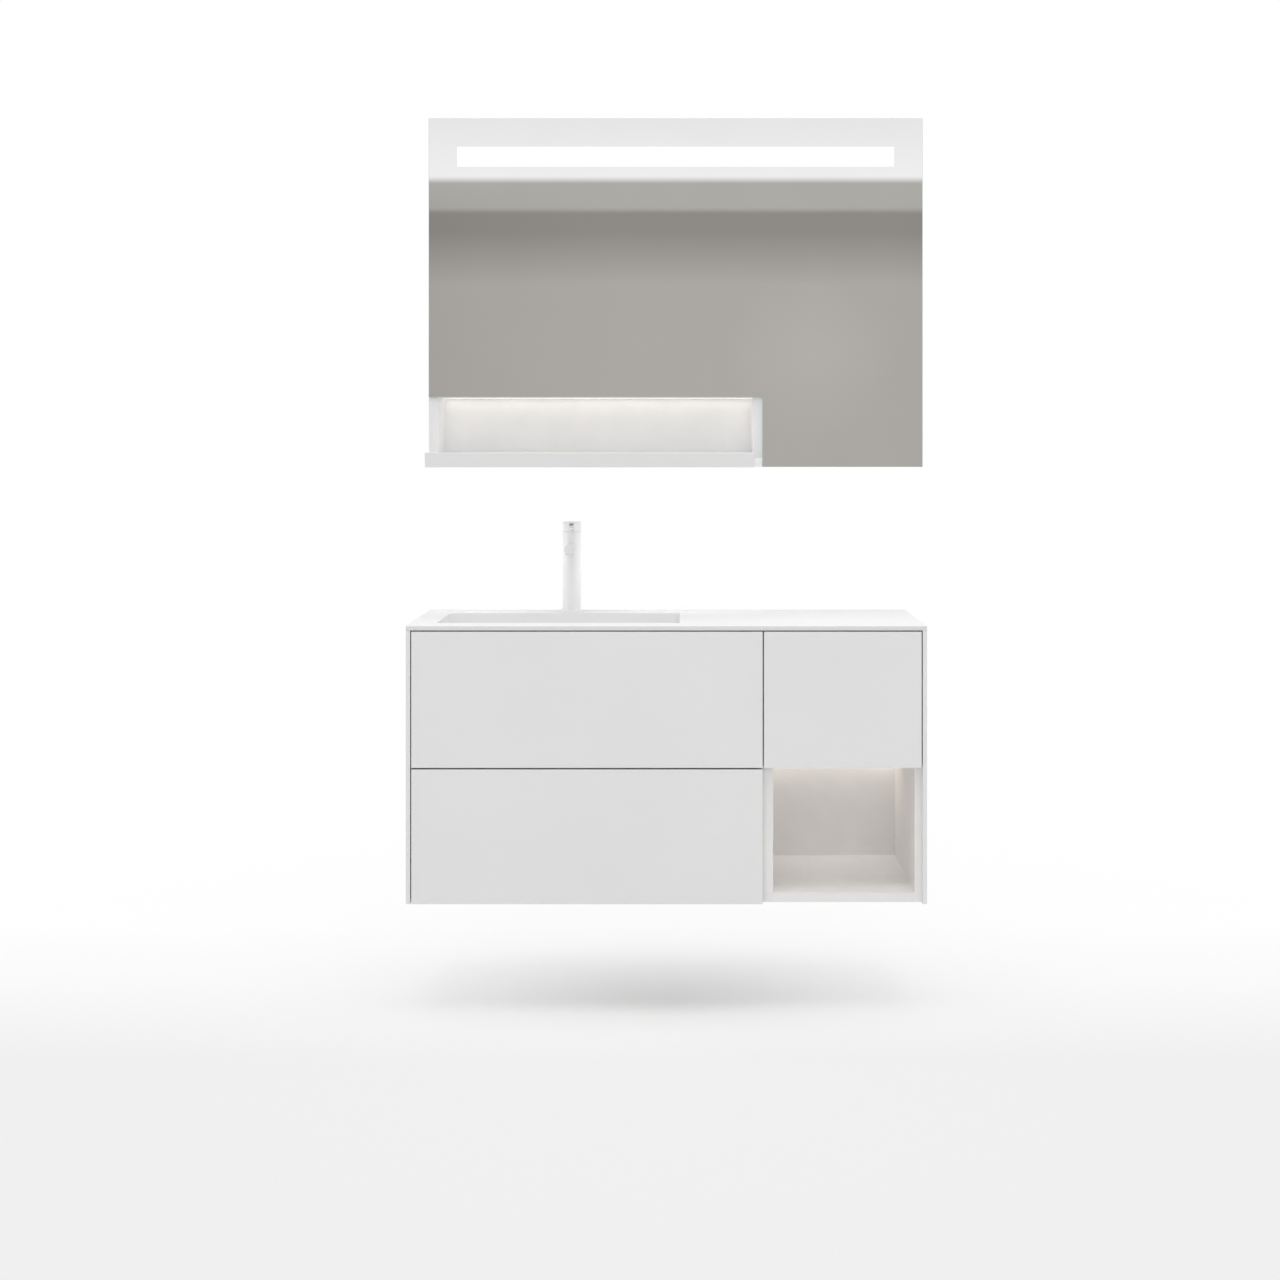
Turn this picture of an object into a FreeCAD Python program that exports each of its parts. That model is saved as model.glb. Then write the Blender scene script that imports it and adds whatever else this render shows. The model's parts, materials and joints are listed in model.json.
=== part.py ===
import FreeCAD, Part
import math
import os

# Wall-hung vanity: integrated basin, single-lever tap, drawers on telescopic runners, open lit niche.
# Above it an L-shaped mirror with a lit window and an open lit shelf niche.
# Millimetres. X runs to the right, Y into the wall, Z up. The wall is the plane y = 0,
# and the origin is the middle of the cabinet's lower back edge.

os.makedirs("parts", exist_ok=True)
Vec = FreeCAD.Vector

# Cabinet
cabinet_width = 1200.0
cabinet_height = 640.0
cabinet_depth = 460.0
wrap_thickness = 10.0
side_thickness = 16.0
board_thickness = 22.0
partition_thickness = 29.0
ceiling_thickness = 16.0
back_thickness = 8.0
back_wall_gap = 2.0
pipe_opening_half = 50.0
pipe_opening_depth = 90.0
rail_thickness = 16.0
rail_height = 70.0
stretcher_depth = 44.0
stretcher_height = 16.0
upper_front_height = 313.5
niche_width = 327.5
niche_frame_width = 22.0

# Fronts
front_thickness = 19.0
front_reveal = 3.0
front_side_reveal = 2.5
front_level_gap = 3.6
front_stop_gap = 3.0
edge_radius = 1.0

# Basin
bowl_depth = 110.0
bowl_left_margin = 60.0
bowl_partition_gap = 186.5
bowl_front_margin = 85.0
bowl_back_margin = 95.0
bowl_wall = 10.0
bowl_fall = 5.0
drain_back_offset = 35.0

# Tap
tap_offset = 15.5
tap_wall_distance = 48.0
tap_body_radius = 23.0
tap_body_height = 195.0
tap_ring_radius = 29.0
tap_ring_height = 5.0
tap_hole_radius = 16.0
shank_radius = 14.0
shank_length = 60.0
hose_port_radius = 4.5
hose_port_depth = 12.0
hose_port_offset = 6.8
nut_radius = 22.0
nut_height = 12.0
spout_radius = 13.0
spout_height = 161.0
spout_reach = 120.0
spout_edge = 1.5
aerator_radius = 10.0
aerator_height = 12.0
aerator_tip_distance = 16.0
aerator_proud = 0.5
cartridge_radius = 17.0
cartridge_height = 46.0
cartridge_pocket = 14.0
cap_height = 24.0
cap_wall = 3.0
lever_radius = 4.5
lever_drop = 16.0
lever_overhang = 40.0
lever_lift_deg = 18.0
lever_hub_radius = 5.5
lever_hub_width = 10.0
lever_tongue_width = 5.0
lever_tongue_dip = 5.0
lever_pin_radius = 2.0
lever_pin_fit = 0.05
lug_width = 5.0
lug_depth = 8.0

# Waste and trap
flange_radius = 31.5
flange_thickness = 3.0
tail_radius = 21.5
tail_bore = 18.0
tail_length = 58.0
waste_nut_radius = 32.0
waste_nut_height = 12.0
plug_radius = 29.0
plug_thickness = 5.0
plug_stem_length = 34.0
plug_stem_sides = 4
trap_collar_radius = 28.0
trap_collar_sides = 8
trap_collar_height = 24.0
trap_cup_radius = 32.0
trap_cup_height = 90.0
trap_outlet_drop = 64.0
trap_outlet_radius = 20.0
trap_outlet_reach = 46.0
pipe_radius = 16.0
pipe_bore = 14.0

# Drawer boxes
drawer_side_thickness = 12.0
drawer_bottom_thickness = 8.0
drawer_floor_gap = 8.0
upper_left_rise = 25.0
bowl_box_gap = 60.0
box_top_drop = 62.0
recess_half_width = 62.0
recess_wall = 10.0

# Telescopic runners
runner_width = 12.7
runner_height = 45.0
runner_gauge = 1.2
runner_lip = 10.0
runner_front_gap = 8.0
runner_rear_gap = 30.0
runner_rise = 60.0

# Push latches
latch_thickness = 12.0
latch_height = 16.0
latch_length = 60.0
latch_rise = 12.0
latch_front_gap = 2.0
plunger_radius = 4.0
plunger_length = 45.0
plunger_travel = 3.0

# Hanging brackets and wall plates
plate_width = 60.0
plate_height = 75.0
plate_gauge = 2.5
plate_side_gap = 2.0
plate_hole_radius = 4.25
plate_hole_rise = 12.0
plate_hole_spacing = 32.0
hook_slot = 3.0
hook_lip_height = 12.0
claw_thickness = 3.0
hanger_thickness = 12.0
hanger_length = 56.0
hanger_height = 45.0
hanger_top_drop = 30.0
mirror_hanger_width = 40.0
mirror_hanger_inset = 150.0
mirror_hanger_root = 6.0
rail_plate_gap = 5.0

# Niche lights and drivers
led_width = 17.0
led_height = 8.0
led_wall = 1.5
led_back_gap = 12.0
diffuser_thickness = 2.0
driver_length = 120.0
driver_height = 40.0
driver_thickness = 18.0
driver_clearance = 4.0
driver_inset = 90.0

# Mirror unit
mirror_width = 1205.0
mirror_height = 851.0
mirror_depth = 180.0
mirror_shift = 21.0
mirror_gap = 363.0
pane_thickness = 5.0
notch_width = 814.0
notch_height = 170.0
light_side_margin = 70.5
light_top_margin = 71.0
light_height = 46.0
case_board = 22.0
ledge_thickness = 35.0
ledge_projection = 75.0
tray_depth = 25.0
tray_border = 10.0
tray_gauge = 1.5

# Clearances, cuts and nuts
nut_sides = 6
running_gap = 0.3
touch_tolerance = 0.01
overrun = 2.0

# Faces that many pieces share
half_width = cabinet_width / 2
clad_face = half_width - wrap_thickness
bay_face = clad_face - side_thickness
slab_under = cabinet_height - wrap_thickness
upper_front_top = slab_under - front_reveal
split_height = upper_front_top - upper_front_height
front_face = -cabinet_depth
front_back = front_face + front_thickness
carcass_front = front_back + front_stop_gap
partition_right = bay_face - niche_width
partition_left = partition_right - partition_thickness
front_split = partition_right - niche_frame_width
left_bay = (-bay_face, partition_left)
right_bay = (partition_right, bay_face)
bowl_x = (bowl_left_margin - half_width, partition_left - bowl_partition_gap)
bowl_y = (front_face + bowl_front_margin, -bowl_back_margin)
bowl_floor = cabinet_height - bowl_depth
drain_x = sum(bowl_x) / 2
drain_y = sum(bowl_y) / 2 + drain_back_offset
tap_x = drain_x + tap_offset
tap_y = -tap_wall_distance
drawer_rear = -(rail_thickness + driver_thickness + driver_clearance)
niche_back_face = -(back_wall_gap + back_thickness)
hook_depth = plate_gauge + hook_slot + plate_gauge
hanger_back = -(hook_depth + running_gap)
plate_top = slab_under - hanger_top_drop
rail_top = plate_top - plate_height - rail_plate_gap


def block(x, y, z):
    """Box between pairs of low and high places on each axis."""
    return Part.makeBox(x[1] - x[0], y[1] - y[0], z[1] - z[0], Vec(x[0], y[0], z[0]))


def inset(pair, by):
    return (pair[0] + by, pair[1] - by)


def about(middle, half):
    return (middle - half, middle + half)


def away(face, direction, depth):
    """Low and high places of something that stands out from a face."""
    return tuple(sorted((face, face + direction * depth)))


def rod(radius, start, end):
    run = end.sub(start)
    return Part.makeCylinder(radius, run.Length, start, run)


def upright_rod(radius, x, y, z):
    return rod(radius, Vec(x, y, z[0]), Vec(x, y, z[1]))


def turned(x, y, profile):
    """Solid turned about a vertical axis from (radius, height) points."""
    points = [Vec(x + radius, y, height) for radius, height in profile]
    face = Part.Face(Part.makePolygon(points + points[:1]))
    return face.revolve(Vec(x, y, 0), Vec(0, 0, 1), 360)


def edges_at(shape, axis, place):
    """Edges that lie wholly in one plane square to an axis."""
    def lies_there(edge):
        low = getattr(edge.BoundBox, axis + "Min")
        high = getattr(edge.BoundBox, axis + "Max")
        return max(abs(low - place), abs(high - place)) < touch_tolerance
    return [edge for edge in shape.Edges if lies_there(edge)]


def eased(shape, axis, place, radius=edge_radius):
    """The shape with the edges of one flat face rounded."""
    return shape.makeFillet(radius, edges_at(shape, axis, place))


def bevelled(shape, axis, place, size):
    """The shape with the edges of one flat face cut off at a slope."""
    return shape.makeChamfer(size, edges_at(shape, axis, place))


def prism(x, y, radius, z, sides):
    """Upright prism whose corners stand at one radius about an axis."""
    turns = [2 * math.pi * side / sides for side in range(sides + 1)]
    corners = [Vec(x + radius * math.cos(turn), y + radius * math.sin(turn), z[0]) for turn in turns]
    return Part.Face(Part.makePolygon(corners)).extrude(Vec(0, 0, z[1] - z[0]))


def nut(x, y, radius, z, bore):
    return prism(x, y, radius, z, nut_sides).cut(upright_rod(bore, x, y, inset(z, -overrun)))


def level_corners(x, y, z):
    return [Vec(x[0], y[0], z), Vec(x[1], y[0], z), Vec(x[1], y[1], z), Vec(x[0], y[1], z)]


def hopper(foot, rim):
    """Solid with flat sloping sides between the corners of two level rectangles."""
    faces = [foot, rim]
    for corner in range(len(foot)):
        following = (corner + 1) % len(foot)
        faces.append([foot[corner], foot[following], rim[following], rim[corner]])
    shell = Part.Shell([Part.Face(Part.makePolygon(points + points[:1])) for points in faces])
    return Part.Solid(shell)


def save(node, *shapes):
    solids = [solid for shape in shapes for solid in shape.Solids]
    whole = solids[0] if len(solids) == 1 else Part.makeCompound(solids)
    whole.exportStep("parts/" + node + ".step")


# Top and the bowl that is bonded under its opening
def countertop():
    slab_z = (slab_under, cabinet_height)
    slab = block((-half_width, half_width), (front_face, 0), slab_z)
    slab = eased(slab, "Z", cabinet_height)
    cut_z = inset(slab_z, -overrun)
    tap_hole = upright_rod(tap_hole_radius, tap_x, tap_y, cut_z)
    save("countertop", slab.cut(block(bowl_x, bowl_y, cut_z)).cut(tap_hole))


def basin():
    floor_edge = bowl_floor + bowl_fall
    shell_z = (bowl_floor - bowl_wall, slab_under)
    shell = block(inset(bowl_x, -bowl_wall), inset(bowl_y, -bowl_wall), shell_z)
    hollow = block(bowl_x, bowl_y, (floor_edge, slab_under + overrun))
    seat = level_corners(about(drain_x, flange_radius), about(drain_y, flange_radius), bowl_floor)
    floor_fall = hopper(seat, level_corners(bowl_x, bowl_y, floor_edge))
    drain_z = (shell_z[0] - overrun, floor_edge)
    drain_hole = upright_rod(tail_radius + running_gap, drain_x, drain_y, drain_z)
    save("basin_bowl", shell.cut(hollow).cut(floor_fall).cut(drain_hole).removeSplitter())


# Carcass boards and cladding
def carcass():
    body_y = (carcass_front, 0)
    body_z = (0, slab_under)
    skins = []
    sides = []
    for direction in (-1, 1):
        skin = block(away(direction * clad_face, direction, wrap_thickness), (front_face, 0), body_z)
        skins.append(eased(skin, "Y", front_face))
        sides.append(block(away(direction * bay_face, direction, side_thickness), body_y, body_z))
    save("claddings", *skins)
    save("carcass_sides", *sides)
    save("bottom_board", block((-bay_face, bay_face), body_y, (0, board_thickness)))
    save("partition", block((partition_left, partition_right), body_y, (board_thickness, slab_under)))

    back_y = (niche_back_face, -back_wall_gap)
    niche_back = block(right_bay, back_y, (board_thickness, split_height))
    service_z = (board_thickness + rail_height, rail_top - rail_height)
    service_back = block(left_bay, back_y, service_z)
    opening_z = (service_z[1] - pipe_opening_depth, service_z[1] + overrun)
    pipe_opening = block(about(drain_x, pipe_opening_half), inset(back_y, -overrun), opening_z)
    upper_back = block(right_bay, back_y, (split_height + ceiling_thickness, service_z[1]))
    save("cabinet_backs", niche_back, service_back.cut(pipe_opening), upper_back)

    ceiling = block(right_bay, body_y, (split_height, split_height + ceiling_thickness))
    groove = led_groove(right_bay, niche_back_face, split_height)
    save("niche_ceiling", ceiling.cut(groove))

    rear_y = (-rail_thickness, 0)
    upper_z = (rail_top - rail_height, rail_top)
    lower_z = (board_thickness, board_thickness + rail_height)
    stretcher_y = (carcass_front, carcass_front + stretcher_depth)
    stretcher_z = (slab_under - stretcher_height, slab_under)
    rails = [block(left_bay, rear_y, lower_z)]
    for bay in (left_bay, right_bay):
        rails.append(block(bay, rear_y, upper_z))
        rails.append(block(bay, stretcher_y, stretcher_z))
    save("cabinet_rails", *rails)


# Niche light: a channel let into the ceiling board with a diffuser in its mouth
def led_span(back_face):
    return (back_face - led_back_gap - led_width, back_face - led_back_gap)


def led_groove(x, back_face, underside):
    return block(x, led_span(back_face), (underside - overrun, underside + led_height))


def led_profile(x, back_face, underside):
    outer = block(x, led_span(back_face), (underside, underside + led_height))
    mouth = inset(led_span(back_face), led_wall)
    mouth_z = (underside - overrun, underside + led_height - led_wall)
    return outer.cut(block(inset(x, -overrun), mouth, mouth_z))


def led_diffuser(x, back_face, underside):
    mouth = inset(led_span(back_face), led_wall)
    return block(x, mouth, (underside, underside + diffuser_thickness))


# Hanging: a plate on the wall with an upturned lip, and a claw that drops behind the lip
def wall_plate(x, top):
    plate = block(x, (-plate_gauge, 0), (top - plate_height, top))
    shelf_z = (top - hook_lip_height - plate_gauge, top - hook_lip_height)
    shelf = block(x, (-hook_depth, -plate_gauge), shelf_z)
    lip = block(x, (-hook_depth, plate_gauge - hook_depth), (shelf_z[1], top))
    plate = plate.fuse([shelf, lip]).removeSplitter()
    middle = sum(x) / 2
    for step in range(2):
        height = top - plate_height + plate_hole_rise + step * plate_hole_spacing
        start = Vec(middle, -plate_gauge - overrun, height)
        plate = plate.cut(rod(plate_hole_radius, start, Vec(middle, overrun, height)))
    return plate


def hanger(x, root, top):
    body = block(x, (root, hanger_back), (top + claw_thickness - hanger_height, top + claw_thickness))
    tongue_back = -(plate_gauge + running_gap)
    bridge = block(x, (hanger_back, tongue_back), (top, top + claw_thickness))
    tongue_y = (-(plate_gauge + hook_slot - running_gap), tongue_back)
    tongue = block(x, tongue_y, (top - hook_lip_height + running_gap, top))
    return body.fuse([bridge, tongue]).removeSplitter()


def hanging():
    plates = []
    hangers = []
    for direction in (-1, 1):
        face = direction * bay_face
        plate_x = away(face - direction * plate_side_gap, -direction, plate_width)
        plates.append(wall_plate(plate_x, plate_top))
        hanger_x = away(face, -direction, hanger_thickness)
        hangers.append(hanger(hanger_x, hanger_back - hanger_length, plate_top))
    for middle in inset(mirror_x, mirror_hanger_inset):
        plates.append(wall_plate(about(middle, plate_width / 2), mirror_plate_top))
        hanger_x = about(middle, mirror_hanger_width / 2)
        hangers.append(hanger(hanger_x, -mirror_cavity, mirror_plate_top))
    save("wall_plates", *plates)
    save("hangers", *hangers)


# Tap: base with threaded shank, body, spout, cartridge, turning cap and lifting pin lever
ring_top = cabinet_height + tap_ring_height
tap_top = ring_top + tap_body_height
cap_z = (tap_top + running_gap, tap_top + running_gap + cap_height)
lever_z = cap_z[1] - lever_drop
cap_bore = tap_body_radius - cap_wall
spout_z = cabinet_height + spout_height
spout_tip = tap_y - spout_reach


def tap_fixed():
    shank_foot = ring_top - shank_length
    ring = upright_rod(tap_ring_radius, tap_x, tap_y, (cabinet_height, ring_top))
    base = ring.fuse(upright_rod(shank_radius, tap_x, tap_y, (shank_foot, cabinet_height)))
    for direction in (-1, 1):
        port_x = tap_x + direction * hose_port_offset
        port_z = (shank_foot - overrun, shank_foot + hose_port_depth)
        base = base.cut(upright_rod(hose_port_radius, port_x, tap_y, port_z))
    save("tap_base", base)
    nut_z = (slab_under - nut_height, slab_under)
    save("tap_fixing_nut", nut(tap_x, tap_y, nut_radius, nut_z, shank_radius + running_gap))

    seat = tap_top - cartridge_height
    column = upright_rod(tap_body_radius, tap_x, tap_y, (ring_top, tap_top))
    socket = upright_rod(cartridge_radius + running_gap, tap_x, tap_y, (seat, tap_top + overrun))
    save("tap_body", column.cut(socket))

    pocket_z = (lever_z - lever_hub_radius - lever_tongue_dip - overrun, tap_top + overrun)
    pocket = block(about(tap_x, cartridge_pocket / 2), about(tap_y, cartridge_pocket / 2), pocket_z)
    save("tap_cartridge", upright_rod(cartridge_radius, tap_x, tap_y, (seat, tap_top)).cut(pocket))

    spout = rod(spout_radius, Vec(tap_x, tap_y, spout_z), Vec(tap_x, spout_tip, spout_z))
    spout = bevelled(spout, "Y", spout_tip, spout_edge).cut(column)
    aerator_y = spout_tip + aerator_tip_distance
    aerator_foot = spout_z - spout_radius - aerator_proud
    aerator_z = (aerator_foot, aerator_foot + aerator_height)
    socket_z = (aerator_z[0] - overrun, aerator_z[1])
    spout = spout.cut(upright_rod(aerator_radius + running_gap, tap_x, aerator_y, socket_z))
    save("tap_spout", spout)
    save("tap_aerator", upright_rod(aerator_radius, tap_x, aerator_y, aerator_z))


def tap_moving():
    cap_profile = [
        (cap_bore, cap_z[0]),
        (tap_body_radius, cap_z[0]),
        (tap_body_radius, cap_z[1]),
        (0, cap_z[1]),
        (0, cap_z[1] - cap_wall),
        (cap_bore, cap_z[1] - cap_wall),
    ]
    cap = turned(tap_x, tap_y, cap_profile)
    hub_half = lever_hub_width / 2
    for direction in (-1, 1):
        lug_x = away(tap_x + direction * (hub_half + running_gap), direction, lug_width)
        lug_z = (lever_z - lug_depth / 2, cap_z[1] - cap_wall)
        cap = cap.fuse(block(lug_x, about(tap_y, lug_depth / 2), lug_z))
    lift = math.radians(lever_lift_deg)
    slot_rise = tap_body_radius * math.tan(lift) + lever_radius / math.cos(lift)
    slot_half = lever_radius + running_gap
    slot_z = (lever_z - slot_half, lever_z + slot_rise + running_gap)
    slot_y = (tap_y - tap_body_radius - overrun, tap_y - lug_depth)
    cap = cap.cut(block(about(tap_x, slot_half), slot_y, slot_z))
    pin_reach = hub_half + running_gap + lug_width
    pin_start = Vec(tap_x - pin_reach, tap_y, lever_z)
    pin_end = Vec(tap_x + pin_reach, tap_y, lever_z)
    cap = cap.cut(rod(lever_pin_radius, pin_start, pin_end))
    save("tap_cap", cap.removeSplitter())
    save("lever_pin", rod(lever_pin_radius, pin_start, pin_end))

    hub = rod(lever_hub_radius, Vec(tap_x - hub_half, tap_y, lever_z), Vec(tap_x + hub_half, tap_y, lever_z))
    tip = tap_y - tap_body_radius - lever_overhang
    stick = rod(lever_radius, Vec(tap_x, tap_y, lever_z), Vec(tap_x, tip, lever_z))
    tongue_z = (lever_z - lever_hub_radius - lever_tongue_dip, lever_z)
    tongue_half = lever_tongue_width / 2
    tongue = block(about(tap_x, tongue_half), about(tap_y, tongue_half), tongue_z)
    bore = rod(lever_pin_radius + lever_pin_fit, pin_start, pin_end)
    save("tap_lever", hub.fuse([stick, tongue]).cut(bore).removeSplitter())


# Waste through the basin floor, plug, bottle trap and pipe to the wall
def waste():
    tail_foot = bowl_floor - tail_length
    flange_top = bowl_floor + flange_thickness
    flange_profile = [
        (tail_bore, flange_top),
        (flange_radius, flange_top),
        (flange_radius, bowl_floor),
        (tail_radius, bowl_floor),
        (tail_radius, tail_foot),
        (tail_bore, tail_foot),
    ]
    save("waste_flange", turned(drain_x, drain_y, flange_profile))

    nut_z = (bowl_floor - bowl_wall - waste_nut_height, bowl_floor - bowl_wall)
    save("waste_nut", nut(drain_x, drain_y, waste_nut_radius, nut_z, tail_radius + running_gap))

    plug_foot = flange_top + running_gap
    lid = upright_rod(plug_radius, drain_x, drain_y, (plug_foot, plug_foot + plug_thickness))
    stem_z = (plug_foot - plug_stem_length, plug_foot)
    stem = prism(drain_x, drain_y, tail_bore - running_gap, stem_z, plug_stem_sides)
    save("waste_plug", lid.fuse(stem))

    collar_foot = tail_foot - trap_collar_height
    cup_foot = collar_foot - trap_cup_height
    collar = prism(drain_x, drain_y, trap_collar_radius, (collar_foot, tail_foot), trap_collar_sides)
    cup = upright_rod(trap_cup_radius, drain_x, drain_y, (cup_foot, collar_foot))
    outlet_z = tail_foot - trap_outlet_drop
    outlet_end = drain_y + trap_outlet_reach
    outlet = rod(trap_outlet_radius, Vec(drain_x, drain_y, outlet_z), Vec(drain_x, outlet_end, outlet_z))
    save("trap_body", cup.fuse([collar, outlet]).removeSplitter())
    pipe = rod(pipe_radius, Vec(drain_x, outlet_end, outlet_z), Vec(drain_x, 0, outlet_z))
    bore = rod(pipe_bore, Vec(drain_x, outlet_end - overrun, outlet_z), Vec(drain_x, overrun, outlet_z))
    save("trap_wall_pipe", pipe.cut(bore))


# Telescopic runner: three nested channels between a cabinet face and a drawer side
runner_y = (carcass_front + runner_front_gap, -runner_rear_gap)
member_step = runner_gauge + running_gap


def channel(face, direction, depth, height, middle):
    outer = block(away(face, direction, depth), runner_y, about(middle, height / 2))
    hollow_x = away(face + direction * runner_gauge, direction, depth)
    hollow = block(hollow_x, inset(runner_y, -overrun), about(middle, height / 2 - runner_gauge))
    return outer.cut(hollow)


def runner_members(face, direction, middle):
    drawer_face = face + direction * runner_width
    cabinet = channel(face, direction, runner_lip, runner_height, middle)
    carrier_face = face + direction * member_step
    carrier = channel(carrier_face, direction, runner_lip, runner_height - 2 * member_step, middle)
    drawer_depth = runner_width - 2 * member_step
    drawer = channel(drawer_face, -direction, drawer_depth, runner_height - 4 * member_step, middle)
    return cabinet, carrier, drawer


# One drawer with its runners and its push latch, which sits on the partition
def drawer(name, bay, front_x, front_z, box_z, latch_side, with_recess=False):
    front = block(front_x, (front_face, front_back), front_z)
    save(name + "_front", eased(front, "Y", front_face))

    side_solids = []
    members = []
    for face, direction in ((bay[0], 1), (bay[1], -1)):
        members.append(runner_members(face, direction, box_z[0] + runner_rise))
        side_x = away(face + direction * runner_width, direction, drawer_side_thickness)
        side_solids.append(block(side_x, (front_back, drawer_rear), box_z))
    cabinet_members, carriers, drawer_members = zip(*members)
    save(name + "_sides", *side_solids)
    save(name + "_runner_middles", *carriers)
    save(name + "_runners", *drawer_members)

    inner_x = inset(bay, runner_width + drawer_side_thickness)
    floor_z = (box_z[0], box_z[0] + drawer_bottom_thickness)
    wall_z = (floor_z[1], box_z[1])
    floor = block(inner_x, (front_back, drawer_rear), floor_z)
    rear = block(inner_x, (drawer_rear - drawer_side_thickness, drawer_rear), wall_z)
    if with_recess:
        recess_x = about(drain_x, recess_half_width)
        recess_y = (drain_y - recess_half_width, drawer_rear + overrun)
        outer_y = (recess_y[0] - recess_wall, drawer_rear)
        outer = block(inset(recess_x, -recess_wall), outer_y, wall_z)
        inner = block(recess_x, recess_y, inset(box_z, -overrun))
        floor = floor.cut(inner)
        rear = rear.cut(outer)
        save(name + "_recess", outer.cut(inner))
    save(name + "_bottom", floor)
    save(name + "_back", rear)

    face, direction = latch_side
    latch_x = away(face, direction, latch_thickness)
    latch_z = (box_z[1] + latch_rise, box_z[1] + latch_rise + latch_height)
    latch_y = (carcass_front + latch_front_gap, carcass_front + latch_front_gap + latch_length)
    axis_x = sum(latch_x) / 2
    axis_z = sum(latch_z) / 2
    tip = front_back + running_gap
    foot = tip + plunger_length
    bore_end = foot + plunger_travel + running_gap
    bore_half = plunger_radius + running_gap
    bore_y = (latch_y[0] - overrun, bore_end)
    bore = block(about(axis_x, bore_half), bore_y, about(axis_z, bore_half))
    save(name + "_plunger", rod(plunger_radius, Vec(axis_x, tip, axis_z), Vec(axis_x, foot, axis_z)))
    return list(cabinet_members), block(latch_x, latch_y, latch_z).cut(bore)


def drawers():
    left_x = (front_side_reveal - clad_face, front_split - front_reveal)
    right_x = (front_split, clad_face - front_side_reveal)
    upper_z = (split_height, upper_front_top)
    lower_z = (0, split_height - front_level_gap)
    upper_left_foot = split_height + upper_left_rise
    lower_left_foot = board_thickness + drawer_floor_gap
    upper_right_foot = split_height + ceiling_thickness + drawer_floor_gap
    left_latch = (partition_left, -1)
    right_latch = (partition_right, 1)
    built = [
        drawer("upper_left", left_bay, left_x, upper_z,
               (upper_left_foot, bowl_floor - bowl_wall - bowl_box_gap), left_latch, with_recess=True),
        drawer("lower_left", left_bay, left_x, lower_z,
               (lower_left_foot, lower_z[1] - box_top_drop), left_latch),
        drawer("upper_right", right_bay, right_x, upper_z,
               (upper_right_foot, upper_z[1] - box_top_drop), right_latch),
    ]
    save("runner_cabinet_members", *[member for members, latch in built for member in members])
    save("push_latches", *[latch for members, latch in built])


# Mirror unit: L-shaped pane on a board case with an open shelf niche
mirror_x = about(mirror_shift, mirror_width / 2)
mirror_z = (cabinet_height + mirror_gap, cabinet_height + mirror_gap + mirror_height)
pane_y = (-mirror_depth, pane_thickness - mirror_depth)
notch_x = mirror_x[0] + notch_width
notch_z = mirror_z[0] + notch_height
mirror_cavity = hook_depth + running_gap + mirror_hanger_root
panel_y = (-(mirror_cavity + back_thickness), -mirror_cavity)
mirror_plate_top = mirror_z[1] - case_board - hanger_top_drop
upright_x = (notch_x - case_board, notch_x)
ledge_z = (mirror_z[0], mirror_z[0] + ledge_thickness)
case_x = inset(mirror_x, case_board)
shelf_x = (case_x[0], upright_x[0])
window_x = inset(mirror_x, light_side_margin)
window_z = (mirror_z[1] - light_top_margin - light_height, mirror_z[1] - light_top_margin)


def mirror_unit():
    pane = block(mirror_x, pane_y, mirror_z)
    notch_space_z = (mirror_z[0] - overrun, notch_z)
    notch = block((mirror_x[0] - overrun, notch_x), inset(pane_y, -overrun), notch_space_z)
    window = block(window_x, pane_y, window_z)
    save("mirror_pane", pane.cut(notch).cut(window))
    save("mirror_light_window", window)

    case_y = (pane_y[1], 0)
    inner_y = (pane_y[1], panel_y[0])
    bottom_z = (mirror_z[0], mirror_z[0] + case_board)
    panel_top = mirror_z[1] - case_board
    left_side = block((mirror_x[0], case_x[0]), case_y, (ledge_z[1], mirror_z[1]))
    right_side = block((case_x[1], mirror_x[1]), case_y, mirror_z)
    upright = block(upright_x, inner_y, (bottom_z[1], notch_z))
    save("mirror_case_sides", left_side, right_side, upright)

    top = block(case_x, case_y, (panel_top, mirror_z[1]))
    bottom = block((upright_x[0], case_x[1]), case_y, bottom_z)
    ceiling = block((case_x[0], notch_x), inner_y, (notch_z, notch_z + case_board))
    save("mirror_case_boards", top, bottom, ceiling.cut(led_groove(shelf_x, panel_y[0], notch_z)))

    panel = block(case_x, panel_y, (bottom_z[1], panel_top))
    ledge_space = block(shelf_x, inset(panel_y, -overrun), (bottom_z[1] - overrun, ledge_z[1]))
    save("mirror_back_panel", panel.cut(ledge_space))
    ledge_y = (-(mirror_depth + ledge_projection), 0)
    ledge = block((mirror_x[0], upright_x[0]), ledge_y, ledge_z)
    save("mirror_shelf", eased(ledge, "Y", ledge_y[0]))


# Lights: the tray behind the mirror's window, both niches, and the drivers that feed them
def light_tray():
    tray_y = (pane_y[1], pane_y[1] + tray_depth)
    tray = block(inset(window_x, -tray_border), tray_y, inset(window_z, -tray_border))
    wall_inset = tray_gauge - tray_border
    hollow_y = (tray_y[0] - overrun, tray_y[1] - tray_gauge)
    return tray.cut(block(inset(window_x, wall_inset), hollow_y, inset(window_z, wall_inset)))


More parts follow.
